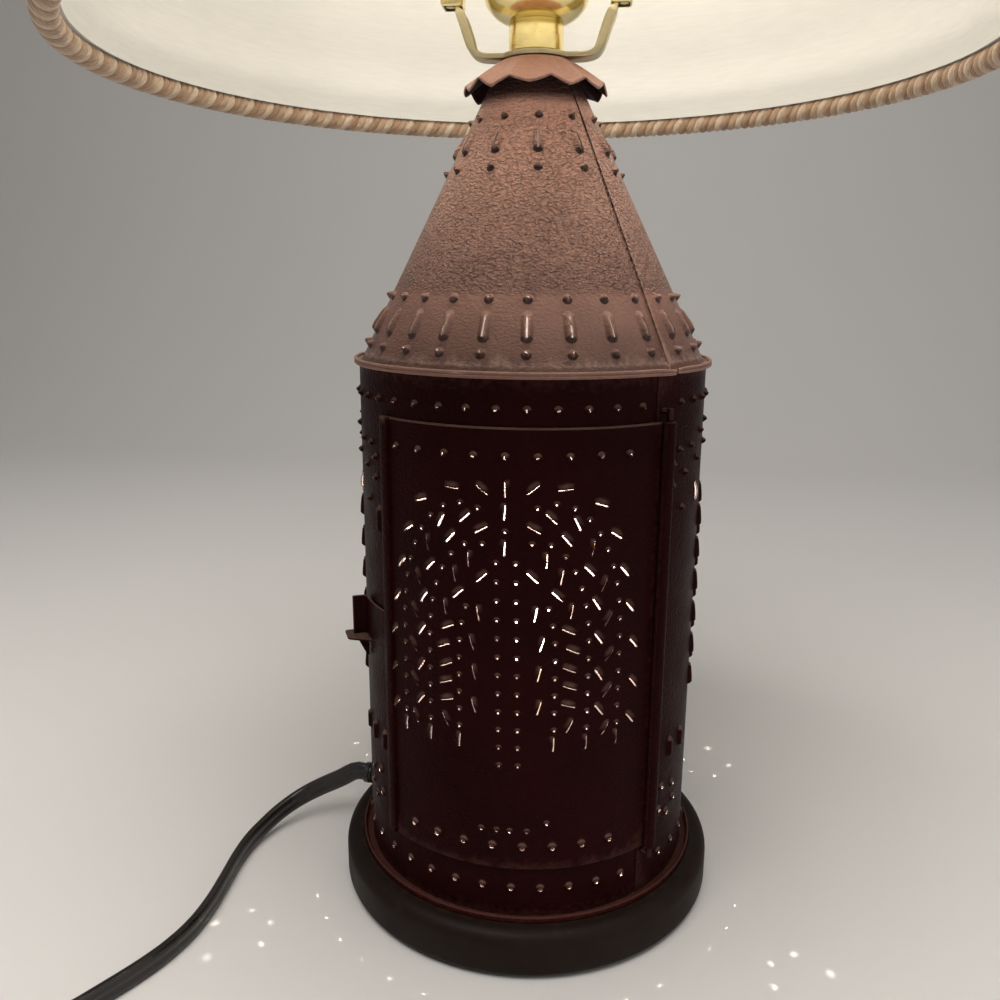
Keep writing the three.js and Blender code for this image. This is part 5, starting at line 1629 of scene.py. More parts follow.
@dataclass
class DoorPattern:
    """The punched tree on the door: nested boughs that arch over beside a trunk and hang down.

    Each bough is a row of slits or dots. A slit is given as its distance from the tree's middle, its height and its
    tilt on the right side, and is mirrored on the left.
    """

    radius: float = 58.5
    middle: float = -2.1
    slit_length: float = 4.5
    slit_width: float = 0.44
    dot: float = 0.75
    trunk_half: float = 2.9
    trunk_foot: float = 70.0
    trunk_pitch: float = 5.87
    trunk_dots: int = 12
    bough_foot: float = 80.0
    stem: tuple[Triple, ...] = (
        (10.0, 89.5, 74), (9.9, 100.3, 76), (10.6, 109.8, 72), (8.6, 119.2, 80),
    )
    inner_bough: tuple[Triple, ...] = (
        (19.4, 83.2, 63), (18.8, 90.0, 163), (19.2, 95.8, 159), (19.0, 101.5, 155), (19.9, 107.5, 156),
        (18.5, 113.7, 154), (19.3, 119.9, 80), (14.9, 124.7, 137), (16.1, 130.6, 80), (7.5, 130.5, 137),
        (11.6, 135.7, 88),
    )
    middle_bough: tuple[Triple, ...] = (
        (31.0, 81.0, 60), (28.7, 87.5, 128), (31.3, 93.4, 52), (28.3, 99.0, 123), (31.6, 105.0, 50), (27.9, 110.7, 125),
        (30.9, 116.5, 60), (26.9, 121.6, 123), (29.2, 127.6, 67), (24.4, 132.0, 134), (25.4, 139.0, 80),
        (17.3, 141.7, 130), (20.4, 146.4, 116), (7.7, 145.0, 150), (12.7, 148.2, 136),
    )
    outer_bough: tuple[Triple, ...] = (
        (40.0, 82.5, 130), (40.8, 94.2, 129), (40.3, 107.3, 131), (38.4, 119.2, 131), (36.0, 130.7, 131),
        (32.8, 142.2, 147), (27.6, 151.8, 161), (16.7, 156.7, 5), (7.4, 156.7, 38),
    )

    def bough_path(self, row: int, start: float) -> np.ndarray:
        """The line that a row of dots follows, as distance and height.

        Args:
            row: number of the row from the trunk outwards.
            start: where on the arch it starts, in degrees.

        Returns:
            Points from the start to the foot.
        """
        width = 9.5 + 5.1 * row
        lobe, crest, spring = 2.8 + 2.2 * row, 123.6 + 5.75 * row, 103.9 + 1.6 * row
        turns = np.radians(np.linspace(start, 0.0, 60))
        arch = np.stack([lobe + (width - lobe) * np.cos(turns), spring + (crest - spring) * np.sin(turns)], axis=1)
        drop = np.stack([np.full(30, width), np.linspace(spring, self.bough_foot, 31)[1:]], axis=1)
        return np.vstack([arch, drop])

    def slit(self, distance: float, z: float, tilt: float) -> Mark:
        """A slit at a distance from the tree's middle, its lip on the upper side."""
        azimuth = math.degrees((self.middle + distance) / self.radius)
        lip = 1.0 if tilt % 180.0 < 90.0 else -1.0
        return Mark(Stroke.SLIT, azimuth, z, self.slit_length, self.slit_width, 0.75, tilt, lip)

    def hole(self, distance: float, z: float) -> Mark:
        """A dot at a distance from the tree's middle."""
        return Mark(Stroke.DOT, math.degrees((self.middle + distance) / self.radius), z, self.dot, self.dot, 0.4)

    def marks(self) -> list[Mark]:
        """Every mark of the tree.

        Returns:
            The marks.
        """
        found: list[Mark] = []
        for distance, z, tilt in (*self.stem, *self.inner_bough, *self.middle_bough, *self.outer_bough):
            found += [self.slit(distance, z, tilt), self.slit(-distance, z - 0.5, 180.0 - tilt)]
        for row, start in ((1, 40.0), (3, 98.0), (5, 104.0)):
            path = self.bough_path(row, start)
            along = travelled(path)
            for reach in np.linspace(0.0, along[-1] - 2.0, round(along[-1] / 5.9) + 1):
                distance, z = (float(np.interp(reach, along, path[:, axis])) for axis in (0, 1))
                found += [self.hole(distance, z), self.hole(-distance, z - 0.5)]
            found.append(self.slit(path[-1, 0], self.bough_foot - 2.6, 88.0))
            found.append(self.slit(-path[-1, 0], self.bough_foot - 3.2, 86.0))
        for step in range(self.trunk_dots):
            z = self.trunk_foot + self.trunk_pitch * step
            lean = 0.9 - 1.3 * step / self.trunk_dots
            found += [self.hole(lean + side * self.trunk_half, z) for side in (-1.0, 1.0)]
        for z, tilt in ((139.1, 85.0), (149.9, 84.0), (156.6, 92.0)):
            found.append(self.slit(-0.7, z, tilt))
        found.append(self.hole(-0.6, 144.1))
        return found


@dataclass
class SeamedTin(Part):
    """Tin that is rolled up and lapped at a seam."""

    seam: float = 0.0

    def wrap(self, azimuth: float) -> float:
        """An azimuth brought into the turn that ends at the seam."""
        return (azimuth - self.seam) % 360.0 + self.seam - 360.0


@dataclass
class Lantern(SeamedTin):
    """Body tube, door with its hinge roll, hasp and keeper."""

    radius: float = 57.4
    bottom: float = 16.7
    top: float = 188.5
    door_radius: float = 58.5
    door_bottom: float = 34.4
    door_top: float = 174.4
    half_angle: float = 46.75
    roll_out: float = 2.15
    roll_radius: float = 2.05
    roll_bore: float = 1.4
    lap: float = 4.0
    seam: float = 44.0
    exit_azimuth: float = CORD_EXIT_AZIMUTH
    exit_z: float = CORD_EXIT_Z
    exit_clear: float = 8.0
    seam_clear: float = 4.5
    eaves_bosses: int = 41
    eaves_z: float = 179.1
    foot_dots: int = 39
    foot_dots_z: float = 26.7
    hasp_bottom: float = 97.75
    hasp_height: float = 13.3
    hasp_angle: float = 19.3
    hasp_lip: float = 5.3
    arch: tuple[Pair, ...] = (
        (44.0, 154.0), (44.0, 160.5), (40.7, 164.6), (32.7, 165.0), (23.0, 168.5), (12.0, 170.5), (0.0, 171.2),
    )
    inner_arch: tuple[Pair, ...] = ((37.5, 146.0), (36.4, 157.0), (26.0, 160.0), (14.0, 163.5), (0.0, 164.6))
    low_dots: tuple[Pair, ...] = ((41.7, 51.0), (34.0, 49.0), (32.7, 43.0), (42.8, 43.0), (37.7, 40.0))

    def boss(self, azimuth: float, z: float, size: float = 2.8, height: float = 1.4) -> Mark:
        """A round boss."""
        return Mark(Stroke.BOSS, azimuth, z, size, size, height, (azimuth * 7.0) % 180.0)

    def torn(self, marks: list[Mark]) -> list[Mark]:
        """The small tears at the tips of the bosses, and the hair-thin splits along the narrow ridges.

        Args:
            marks: the marks.

        Returns:
            The tears and splits.
        """
        tears = [Mark(Stroke.SLIT, mark.azimuth, mark.z, 1.05, 0.4, 0.0, (mark.azimuth * 31.0) % 180.0)
                 for mark in marks if mark.stroke is Stroke.BOSS]
        splits = [Mark(Stroke.SLIT, mark.azimuth, mark.z - 0.4, 0.62 * mark.length, 0.3, 0.0, mark.tilt)
                  for mark in marks if mark.stroke is Stroke.RIDGE and mark.width < 3.0]
        return tears + splits

    def side_motif(self, middle: float, spread: float) -> list[Mark]:
        """The punched arch on one side of the body, with hanging rows of slits under it.

        Args:
            middle: azimuth of its middle.
            spread: how far its halves lie apart, where 1 is the full width.

        Returns:
            Its marks.
        """
        found: list[Mark] = []
        degree = math.degrees(1.0 / self.radius)
        for side in (-1.0, 1.0):
            turn = side * spread * degree
            bosses = [place for place in (*self.arch, *self.inner_arch) if side > 0 or place[0]]
            found += [self.boss(self.wrap(middle + turn * x), z, 2.7, 1.35) for x, z in bosses]
            found += [Mark(Stroke.DOT, self.wrap(middle + turn * x), z, 1.5, 1.5, 0.75) for x, z in self.low_dots]
            found.append(Mark(Stroke.RIDGE, self.wrap(middle + turn * 46.0), 140.7, 9.5, 4.0, 1.4))
            found += [Mark(Stroke.RIDGE, self.wrap(middle + turn * x), 64.0, 7.5, 3.2, 1.4) for x in (45.8, 37.3, 28.5)]
            leaning = self.wrap(middle + turn * 26.0)
            found.append(Mark(Stroke.SLIT, leaning, 148.9, 7.0, 0.6, 1.0, 90.0 - side * 14.0, side))
            for x, first in ((16.5, 82.0), (7.0, 87.7)):
                for row in range(6):
                    azimuth = self.wrap(middle + turn * x)
                    found.append(Mark(Stroke.RIDGE, azimuth, first + 11.4 * row, 8.6, 2.8, 1.45, 90.0, fade=0.35))
        return found

    def body_marks(self) -> list[Mark]:
        """Bosses under the roof, pierced row over the pan and the arches of the sides and back.

        Returns:
            The marks.
        """
        pitch = 360.0 / self.eaves_bosses
        found = [self.boss(self.wrap(3.1 + pitch * k), self.eaves_z) for k in range(self.eaves_bosses)]
        for k in range(self.foot_dots):
            azimuth = self.wrap(-0.1 + 360.0 / self.foot_dots * k)
            if abs(turn_from(self.exit_azimuth, azimuth)) > self.exit_clear:
                found.append(Mark(Stroke.DOT, azimuth, self.foot_dots_z, 1.4, 1.4, 0.75))
        for middle, spread in ((-97.0, 1.0), (97.0, 1.0), (180.0, 0.7)):
            found += self.side_motif(middle, spread)
        return [mark for mark in found if abs(turn_from(self.seam, mark.azimuth)) > self.seam_clear]

    def door_marks(self) -> list[Mark]:
        """Boss rows and the tree.

        Returns:
            The marks.
        """
        found = [self.boss(-2.8 + 9.05 * k, 166.0) for k in range(-4, 5)]
        for k in range(-4, 4):
            found.append(Mark(Stroke.DOT, 3.3 + 9.2 * k, 42.2, 1.5, 1.5, 0.85))
        for azimuth in (-9.4, -4.6, -0.6, 4.6):
            found.append(Mark(Stroke.DOT, azimuth, 47.6, 0.9, 0.9, 0.4))
        found.append(Mark(Stroke.DOT, 10.6, 50.4, 0.9, 0.9, 0.4))
        return found + DoorPattern().marks()

    def build(self) -> None:
        """Builds the body and the door."""
        inner = self.half_angle - math.degrees(self.lap / self.radius)
        body_marks, door_marks = self.body_marks(), self.door_marks()
        cord_hole = Mark(Stroke.DOT, self.wrap(self.exit_azimuth), self.exit_z, 8.8, 8.8, 0.0)
        body = PunchedSheet(
            "lantern_tube", TinSurface(self.radius, self.bottom), self.seam - 360.0, self.seam + self.lap, self.bottom,
            self.top, body_marks, tuck=self.lap,
            window=(-inner, inner, self.door_bottom + self.lap, self.door_top - self.lap),
            openings=[cord_hole, *self.torn(body_marks)],
        ).build(self.finishes.tin_paint, self.finishes.bare_tin)
        self.settle(body, "painted_tin", "lantern_body")
        door = PunchedSheet(
            "door_sheet", TinSurface(self.door_radius, self.door_bottom), -self.half_angle + 0.8, self.half_angle - 0.8,
            self.door_bottom, self.door_top, door_marks, openings=self.torn(door_marks), rounding=0.45,
        ).build(self.finishes.tin_paint, self.finishes.bare_tin)
        self.settle(door, "painted_tin", "door_panel", body="door")
        self.build_edges()
        self.build_latch()
        self.dress("hinge_wire", self.finishes.tin_paint)

    def build_edges(self) -> None:
        """The folded left edge and the rolled right edge of the door."""
        degree = math.degrees(1.0 / self.door_radius)
        hem = [(0.0, -TIN + 0.05), (0.0, 0.3), (0.35, 0.85), (1.0, 1.2), (2.2, 1.4), (3.4, 1.42), (3.95, 1.2),
               (4.2, 0.75), (4.25, 0.1), (4.25, -TIN + 0.05)]
        heights = [self.door_bottom, self.door_bottom + 0.5,
                   *np.linspace(self.door_bottom + 3, self.door_top - 3, 24), self.door_top - 0.5, self.door_top]
        rows = []
        for number, z in enumerate(heights):
            shrink = 0.72 if number in (0, len(heights) - 1) else 1.0
            rows.append([around(-self.half_angle + across * degree, self.door_radius + lift * shrink, z)
                         for across, lift in hem])
        fold = Mesher.loft("door_fold", rows, self.finishes.tin_paint)
        self.settle(fold, "painted_tin", body="door")

        axis = around(self.half_angle, BODY_OUTSIDE + self.roll_out, 0.0)
        turns = np.radians(np.linspace(-90, 258, 34))
        outward = around(self.half_angle, 1.0, 0.0)
        tangent = np.array([-outward[1], outward[0], 0.0])
        section = [(self.roll_radius * math.sin(a), -self.roll_radius * math.cos(a)) for a in turns]
        section += [(self.roll_bore * math.sin(a), -self.roll_bore * math.cos(a)) for a in turns[::-1]]
        rows = []
        for z in (self.door_bottom, self.door_bottom + 0.4, *np.linspace(self.door_bottom + 8, self.door_top - 8, 14),
                  self.door_top - 0.4, self.door_top):
            rows.append([axis + tangent * x + outward * y + np.array([0, 0, z]) for x, y in section])
        tube = Mesher.loft("door_roll", rows, self.finishes.tin_paint)
        self.settle(tube, "painted_tin", body="door")

    def build_latch(self) -> None:
        """The bent hasp that comes out of the door's fold, and the bracket on the body that it rests on."""
        degree = math.degrees(1.0 / self.radius)
        inner, outer = self.radius + 0.3, self.radius + 0.3 + TIN
        root, lip = -self.half_angle + 1.5 * degree, -self.half_angle - self.hasp_angle
        bend = lip + 1.9 * degree
        line = [(root, inner)] + [(root + (bend - root) * t, inner) for t in np.linspace(0.12, 1.0, 9)]
        line += [(lip + 0.55 * degree, inner + 0.45), (lip, inner + 1.7), (lip, inner + self.hasp_lip - 0.3),
                 (lip + 0.2 * degree, inner + self.hasp_lip), (lip + 0.7 * degree, inner + self.hasp_lip),
                 (lip + 0.9 * degree, inner + self.hasp_lip - 0.3), (lip + 0.9 * degree, inner + 2.2),
                 (lip + 1.25 * degree, inner + 1.2)]
        line += [(bend + 0.4 * degree + (root - bend) * t, outer) for t in np.linspace(0.0, 0.95, 9)]
        outline = [tuple(around(azimuth, radius, 0.0)[:2]) for azimuth, radius in line]
        middle = self.hasp_bottom + self.hasp_height / 2
        hasp = Mesher.raise_outline("hasp_strip", outline, self.hasp_height, self.finishes.tin_paint,
                                    lambda points: points + np.array([0.0, 0.0, middle]), 0.22)
        self.settle(hasp, "painted_tin", "door_hasp", body="door")
        self.build_keeper(lip)

    def build_keeper(self, azimuth: float) -> None:
        """The bracket under the hasp: a shelf, a flange on the body and a web between them.

        Args:
            azimuth: where on the body it sits.
        """
        outward = around(azimuth, 1.0, 0.0)
        across = np.array([-outward[1], outward[0], 0.0])
        up = np.array([0.0, 0.0, 1.0])
        top = self.hasp_bottom - 0.3
        near, far = self.radius + 0.3, self.radius + 7.9

        def upright(points: np.ndarray) -> np.ndarray:
            """Stands a plate drawn as reach and height on the body, facing along it."""
            return points[:, :1] * outward + points[:, 1:2] * up + points[:, 2:] * across

        def level(points: np.ndarray) -> np.ndarray:
            """Lays a plate drawn as reach and side under the hasp."""
            return points[:, :1] * outward + points[:, 1:2] * across + (points[:, 2:] + top - TIN / 2) * up

        shelf = [(near, -4.0), (far - 0.9, -4.0), (far - 0.25, -3.75), (far, -3.1), (far, 2.6), (far - 0.25, 3.3),
                 (far - 1.0, 4.0), (near + 0.6, 7.6), (near - 0.5, 7.9)]
        plate = Mesher.raise_outline("keeper_shelf", shelf, TIN, self.finishes.tin_paint, level, 0.2)
        self.settle(plate, "painted_tin", "latch_keeper")
        web = [(near, top - 0.5), (near + 4.4, top - 0.5), (near + 4.0, top - 1.6), (near + 0.9, top - 8.1),
               (near, top - 8.4)]
        rib = Mesher.raise_outline("keeper_web", web, TIN, self.finishes.tin_paint, upright, 0.15)
        self.settle(rib, "painted_tin")


@dataclass
class Roof(SeamedTin):
    """Cone with its wired rim, and the crimped cap on it."""

    foot_radius: float = 55.8
    foot: float = 190.45
    top: float = 277.65
    taper: float = 0.5
    seam: float = 50.6
    lap: float = 4.5
    bead_z: float = 188.9
    bead_radius: float = 58.6
    bead_half: float = 0.52
    low_band: int = 26
    high_band: int = 12
    pleats: int = 12
    cap_flat: float = 10.2
    cap_rim: float = 22.6
    cap_z: float = 280.36
    cap_drop: float = 8.6

    def marks(self) -> list[Mark]:
        """Two boss bands, each a row of ridges between two rows of bosses.

        Returns:
            The marks.
        """
        found: list[Mark] = []
        for k in range(self.low_band):
            azimuth = self.wrap(2.6 + 360.0 / self.low_band * k)
            found.append(Mark(Stroke.BOSS, azimuth, 194.3, 3.2, 3.2, 2.0, 40.0 * k % 180))
            found.append(Mark(Stroke.BOSS, azimuth, 209.3, 3.1, 3.1, 1.95, 53.0 * k % 180))
            found.append(Mark(Stroke.RIDGE, azimuth, 201.7, 9.8, 3.7, 1.8, 90.0, fade=0.6))
        for k in range(self.high_band):
            azimuth = self.wrap(6.5 + 360.0 / self.high_band * k)
            found.append(Mark(Stroke.BOSS, azimuth, 246.9, 2.9, 2.9, 1.8, 47.0 * k % 180))
            found.append(Mark(Stroke.BOSS, azimuth + 1.0, 262.3, 2.7, 2.7, 1.65, 61.0 * k % 180))
            found.append(Mark(Stroke.RIDGE, azimuth, 254.9, 8.8, 3.3, 1.6, 90.0, fade=0.6))
        return [mark for mark in found if self.seam - 360.0 + 3.5 < mark.azimuth < self.seam - 3.0]

    @staticmethod
    def splits(marks: list[Mark]) -> list[Mark]:
        """The fine slits along the tops of the ridges and the tears at the tips of the bosses.

        Args:
            marks: the marks.

        Returns:
            The slits and tears.
        """
        slits = [Mark(Stroke.SLIT, mark.azimuth, mark.z - 0.5, 0.66 * mark.length, 0.52, 0.0, mark.tilt)
                 for mark in marks if mark.stroke is Stroke.RIDGE]
        tears = [Mark(Stroke.SLIT, mark.azimuth, mark.z, 0.95, 0.38, 0.0, mark.tilt)
                 for mark in marks if mark.stroke is Stroke.BOSS]
        return slits + tears

    def build(self) -> None:
        """Builds the cone, its rim and the cap."""
        marks = self.marks()
        # The roof takes a lighter copy of the body's paint, painted light from the bulb
        cone = PunchedSheet(
            "roof_cone", TinSurface(self.foot_radius, self.foot, self.taper), self.seam - 360.0, self.seam + self.lap,
            self.foot, self.top, marks, tuck=self.lap, spacing=2.6, openings=self.splits(marks),
        ).build(self.finishes.lit_roof_paint, self.finishes.bare_tin)
        self.settle(cone, "painted_tin", "cone_roof")
        self.build_rim()
        self.build_cap()
        for node in ("top_washer", "top_locknut", "top_nipple"):
            self.dress(node, self.finishes.steel, 0.2)

    def build_rim(self) -> None:
        """The double bead rolled round a wire, and the flare that joins it to the cone, open at the seam."""
        count = 200
        flare_rows, bead_rows = [], []
        for step in range(count + 1):
            azimuth = self.seam - 360.0 + 0.6 + (360.0 - 1.2) * step / count
            near_end = min(step, count - step)
            squeeze = 1.0 - 0.22 * math.exp(-(near_end / 1.6) ** 2)
            dip = 0.35 * math.exp(-((count - step) / 3.0) ** 2)
            wobble = 0.06 * math.sin(11 * math.radians(azimuth)) + 0.04 * math.sin(23 * math.radians(azimuth) + 1.0)
            half = self.bead_half * squeeze
            middle, level = self.bead_radius + wobble, self.bead_z - dip
            bead = [(middle + half * math.cos(turn), level + rise + half * math.sin(turn))
                    for rise, first, last in ((half, 190, -75), (-half, 75, -190))
                    for turn in np.radians(np.linspace(first, last, 12))]
            flare = [(self.foot_radius - 0.35, self.foot + 0.8), (self.foot_radius + 0.3, self.foot - 0.6),
                     (self.foot_radius + 0.7, self.foot - 1.3), (self.bead_radius - 0.3, self.bead_z + 0.2),
                     (self.bead_radius - 0.3, self.bead_z - 0.4), (self.foot_radius - 0.2, self.foot - 1.7),
                     (self.foot_radius - 1.1, self.foot + 0.5)]
            bead_rows.append([around(azimuth, radius, z) for radius, z in bead])
            flare_rows.append([around(azimuth, radius, z) for radius, z in flare])
        flare = Mesher.loft("roof_flare", flare_rows, self.finishes.lit_roof_paint)
        self.settle(flare, "painted_tin")
        # The bead takes a lighter copy of the paint: a painted highlight along it
        rim = Mesher.loft("roof_rim", bead_rows, self.finishes.lit_rim_paint)
        self.settle(rim, "painted_tin")

    def cap_phase(self, angle: np.ndarray | float) -> np.ndarray | float:
        """Where an angle falls in the run of pleats, one for each pleat; the pleats aren't quite even."""
        return (self.pleats * angle + 0.35 * np.sin(2 * angle)) / (2 * math.pi)

    def cap_height(self, radius: float, angle: float) -> float:
        """Height of the cap's middle surface: flat in the middle, then folded, sharp above and a little round below.

        Args:
            radius: distance from the axis.
            angle: angle about the axis.

        Returns:
            The height.
        """
        reach = max(radius - self.cap_flat, 0.0) / (self.cap_rim - self.cap_flat)
        uneven = 1.0 + 0.22 * math.sin(5 * angle + 0.7) + 0.14 * math.sin(3 * angle + 2.0)
        phase = float(self.cap_phase(angle))
        fold = 1.0 - 1.3 * abs(2.0 * (phase % 1.0) - 1.0) - 0.7 * abs(math.cos(math.pi * phase))
        return self.cap_z - self.cap_drop * reach ** 1.12 + 1.2 * uneven * fold * reach

    def build_cap(self) -> None:
        """The crimped cap: a lighter copy of the paint above, which is painted light from the bulb, and the body's dark
        paint underneath.
        """
        radii = [5.1, 7.6, *np.linspace(self.cap_flat, self.cap_rim, 14)]
        sides = self.pleats * 20
        turn = np.linspace(0.0, 2 * math.pi, 6000)
        angles = np.interp(np.arange(sides) / 20.0, self.cap_phase(turn), turn)
        points = []
        for radius in radii:
            for angle in map(float, angles):
                reach = max(radius - self.cap_flat, 0.0) / (self.cap_rim - self.cap_flat)
                ruffle = 0.2 * reach * math.sin(self.pleats * angle + 1.1) - 0.3 * reach
                r = radius + ruffle
                points.append((r * math.cos(angle), r * math.sin(angle), self.cap_height(radius, angle)))
        upward = [face[::-1] for face in Mesher.grid_faces(len(radii), sides, False, True)]
        cap = Mesher.add("pleated_cap", np.array(points), upward,
                         [self.finishes.lit_cap_paint, self.finishes.tin_paint], crease=38.0)
        thick = cap.modifiers.new("sheet", "SOLIDIFY")
        thick.thickness = 0.6 * MM
        thick.offset = 0.0
        thick.material_offset = 1
        self.settle(cap, "painted_tin", "crimped_cap")


@dataclass
class Socket(Part):
    """Harp saddle, neck, lamp socket, switch and main bulb."""

    saddle_bottom: float = 281.06
    neck_bottom: float = 282.86
    cap_bottom: float = 291.76
    shell_bottom: float = 300.26
    shell_top: float = 346.26
    knob_z: float = 312.76
    bulb_bottom: float = 343.16
    bulb_neck: float = 12.5
    bulb_radius: float = 29.5
    bulb_height: float = 80.0

    def build(self) -> None:
        """Builds the socket group."""
        self.build_saddle()
        bottom = self.neck_bottom
        neck = Mesher.lathe("neck_collar", [
            (7.5, bottom), (8.2, bottom), (8.5, bottom + 0.3), (8.5, bottom + 8.55), (8.3, bottom + 8.85),
            (7.5, bottom + 8.85),
        ], self.finishes.brass, 96)
        self.settle(neck, "polished_brass", "brass_neck")
        low = self.cap_bottom
        bowl = [(8.4, low), (10.6, low + 0.5), (12.6, low + 1.6), (14.3, low + 3.1), (15.5, low + 4.8),
                (16.15, low + 6.6), (16.3, low + 8.2), (16.3, low + 15.6), (16.1, low + 16.3)]
        inside = [(15.7, low + 16.4), (15.65, low + 8.2), (15.0, low + 5.2), (13.6, low + 3.4), (11.8, low + 2.0),
                  (9.6, low + 1.0), (5.1, low + 0.6)]
        cap = Mesher.lathe("socket_bowl", [(5.1, low), *bowl, *inside], self.finishes.brass, 112, crease=50.0)
        self.settle(cap, "polished_brass", "socket_cap")
        self.build_shell()
        self.build_switch()
        globe = bulb_outline(self.bulb_bottom, self.bulb_neck, self.bulb_radius, self.bulb_height)
        glass = Mesher.lathe("bulb_globe", globe, self.finishes.bulb, 72)
        glass.visible_shadow = False
        self.settle(glass, "frosted_glass", "main_bulb_glass", body="main_bulb")
        finishes = self.finishes
        for node, finish, bevel in (
            ("main_bulb_cap", finishes.steel, 0.0), ("socket_interior", finishes.phenolic, 0.3),
            ("screw_shell", finishes.brass, 0.0), ("socket_liner", finishes.card, 0.0),
            ("terminal_screw_brass", finishes.brass, 0.3), ("terminal_screw_steel", finishes.steel, 0.3),
        ):
            self.dress(node, finish, bevel)

    def build_saddle(self) -> None:
        """The bent strip that carries the harp: a round middle, two arms with turned-in edges, and two tabs."""
        line = [(0.0, 0.0), (9.0, 0.0), (14.6, 0.02), (16.9, 0.3), (18.9, 1.0), (20.4, 2.6), (21.6, 5.4), (23.0, 9.6),
                (24.0, 12.4), (24.4, 14.2), (24.45, 15.5), (24.45, 19.5), (24.45, 24.6)]
        widths = [4.5, 4.5, 4.5, 4.5, 4.5, 4.5, 4.5, 4.5, 4.4, 3.2, 2.6, 2.6, 2.3]
        flanges = [0.02, 0.02, 0.02, 0.1, 0.7, 1.5, 1.8, 1.8, 1.6, 0.05, 0.02, 0.02, 0.02]
        right = smooth_path([(x, 0.0, z) for x, z in line], 0.5)
        reach = travelled(right)
        knots = travelled(np.array(line))
        half = np.interp(reach, knots, widths)
        hub = np.sqrt(np.clip(10.0 ** 2 - right[:, 0] ** 2, 0.0, None)) * (right[:, 0] < 10.0)
        half = (half ** 4 + hub ** 4) ** 0.25
        turned = np.interp(reach, knots, flanges)
        path = np.vstack([right[::-1] * np.array([-1.0, 1.0, 1.0]), right[1:]])
        half = np.concatenate([half[::-1], half[1:]])
        turned = np.concatenate([turned[::-1], turned[1:]])
        tangent = np.gradient(path, axis=0)
        tangent /= np.linalg.norm(tangent, axis=1)[:, None]
        normal = np.stack([-tangent[:, 2], np.zeros(len(path)), tangent[:, 0]], axis=1)
        rows = []
        for point, out, width, flange in zip(path, normal, half, turned):
            base = point + np.array([0.0, 0.0, self.saddle_bottom + 0.75])
            rows.append([base + np.array([0.0, y, 0.0]) + out * lift for y, lift in self.saddle_section(width, flange)])
        strip = Mesher.loft("saddle_strip", rows, self.finishes.saddle)
        self.settle(strip, "plated_steel", "harp_saddle")

    @staticmethod
    def saddle_section(half: float, flange: float) -> list[Pair]:
        """Section of the saddle's strip.

        Args:
            half: half its width.
            flange: how far its edges stand over its upper face.

        Returns:
            Places across it and over its middle, the underside first.
        """
        low, round_by = -0.75, 0.6
        floor = 0.75 - 0.35 * min(flange / 1.5, 1.0)
        rim = floor + max(flange, 0.02)
        right = [(half - round_by, low), (half - 0.29 * round_by, low + 0.29 * round_by), (half, low + round_by),
                 (half, rim - 0.15), (half - 0.2, rim), (half - 0.75, rim), (half - 0.9, rim - 0.01),
                 (half - 0.95, floor)]
        return [*right, *[(-y, lift) for y, lift in right[::-1]]]

    def build_shell(self) -> None:
        """The socket's shell with its rolled beads."""
        low, high = self.shell_bottom, self.shell_top
        outside = [(15.3, low), (15.4, low + 0.2), (15.4, high - 14.0)]
        outside += [(15.4 - 0.45 * math.sin(a), high - 14.0 + 3.0 * a / math.pi) for a in np.linspace(0.2, math.pi, 8)]
        outside += [(15.4, high - 0.5), (15.2, high)]
        outline = [*outside, (14.8, high), (14.8, low)]
        shell = Mesher.lathe("socket_sleeve", outline, self.finishes.brass, 96, crease=50.0)
        self.settle(shell, "polished_brass", "socket_shell")

    def build_switch(self) -> None:
        """The turn knob: a round stem and a fluted, waisted paddle."""
        rows = []
        for reach, wide, thick in ((7.0, 2.0, 2.0), (21.4, 2.0, 2.0), (22.0, 3.6, 2.6), (23.0, 5.2, 2.8),
                                   (25.0, 6.4, 2.9), (28.0, 6.9, 2.9), (31.0, 6.9, 2.7), (33.0, 6.2, 2.2),
                                   (33.9, 4.6, 1.4)):
            rows.append([np.array([wide * math.cos(a) * (1 + 0.02 * math.cos(8 * a)), -reach,
                                   self.knob_z + thick * math.sin(a)])
                         for a in np.linspace(0, 2 * math.pi, 32, endpoint=False)])
        knob = Mesher.loft("turn_knob", rows, self.finishes.phenolic)
        self.settle(knob, "black_phenolic", "switch_knob", body="switch_knob")


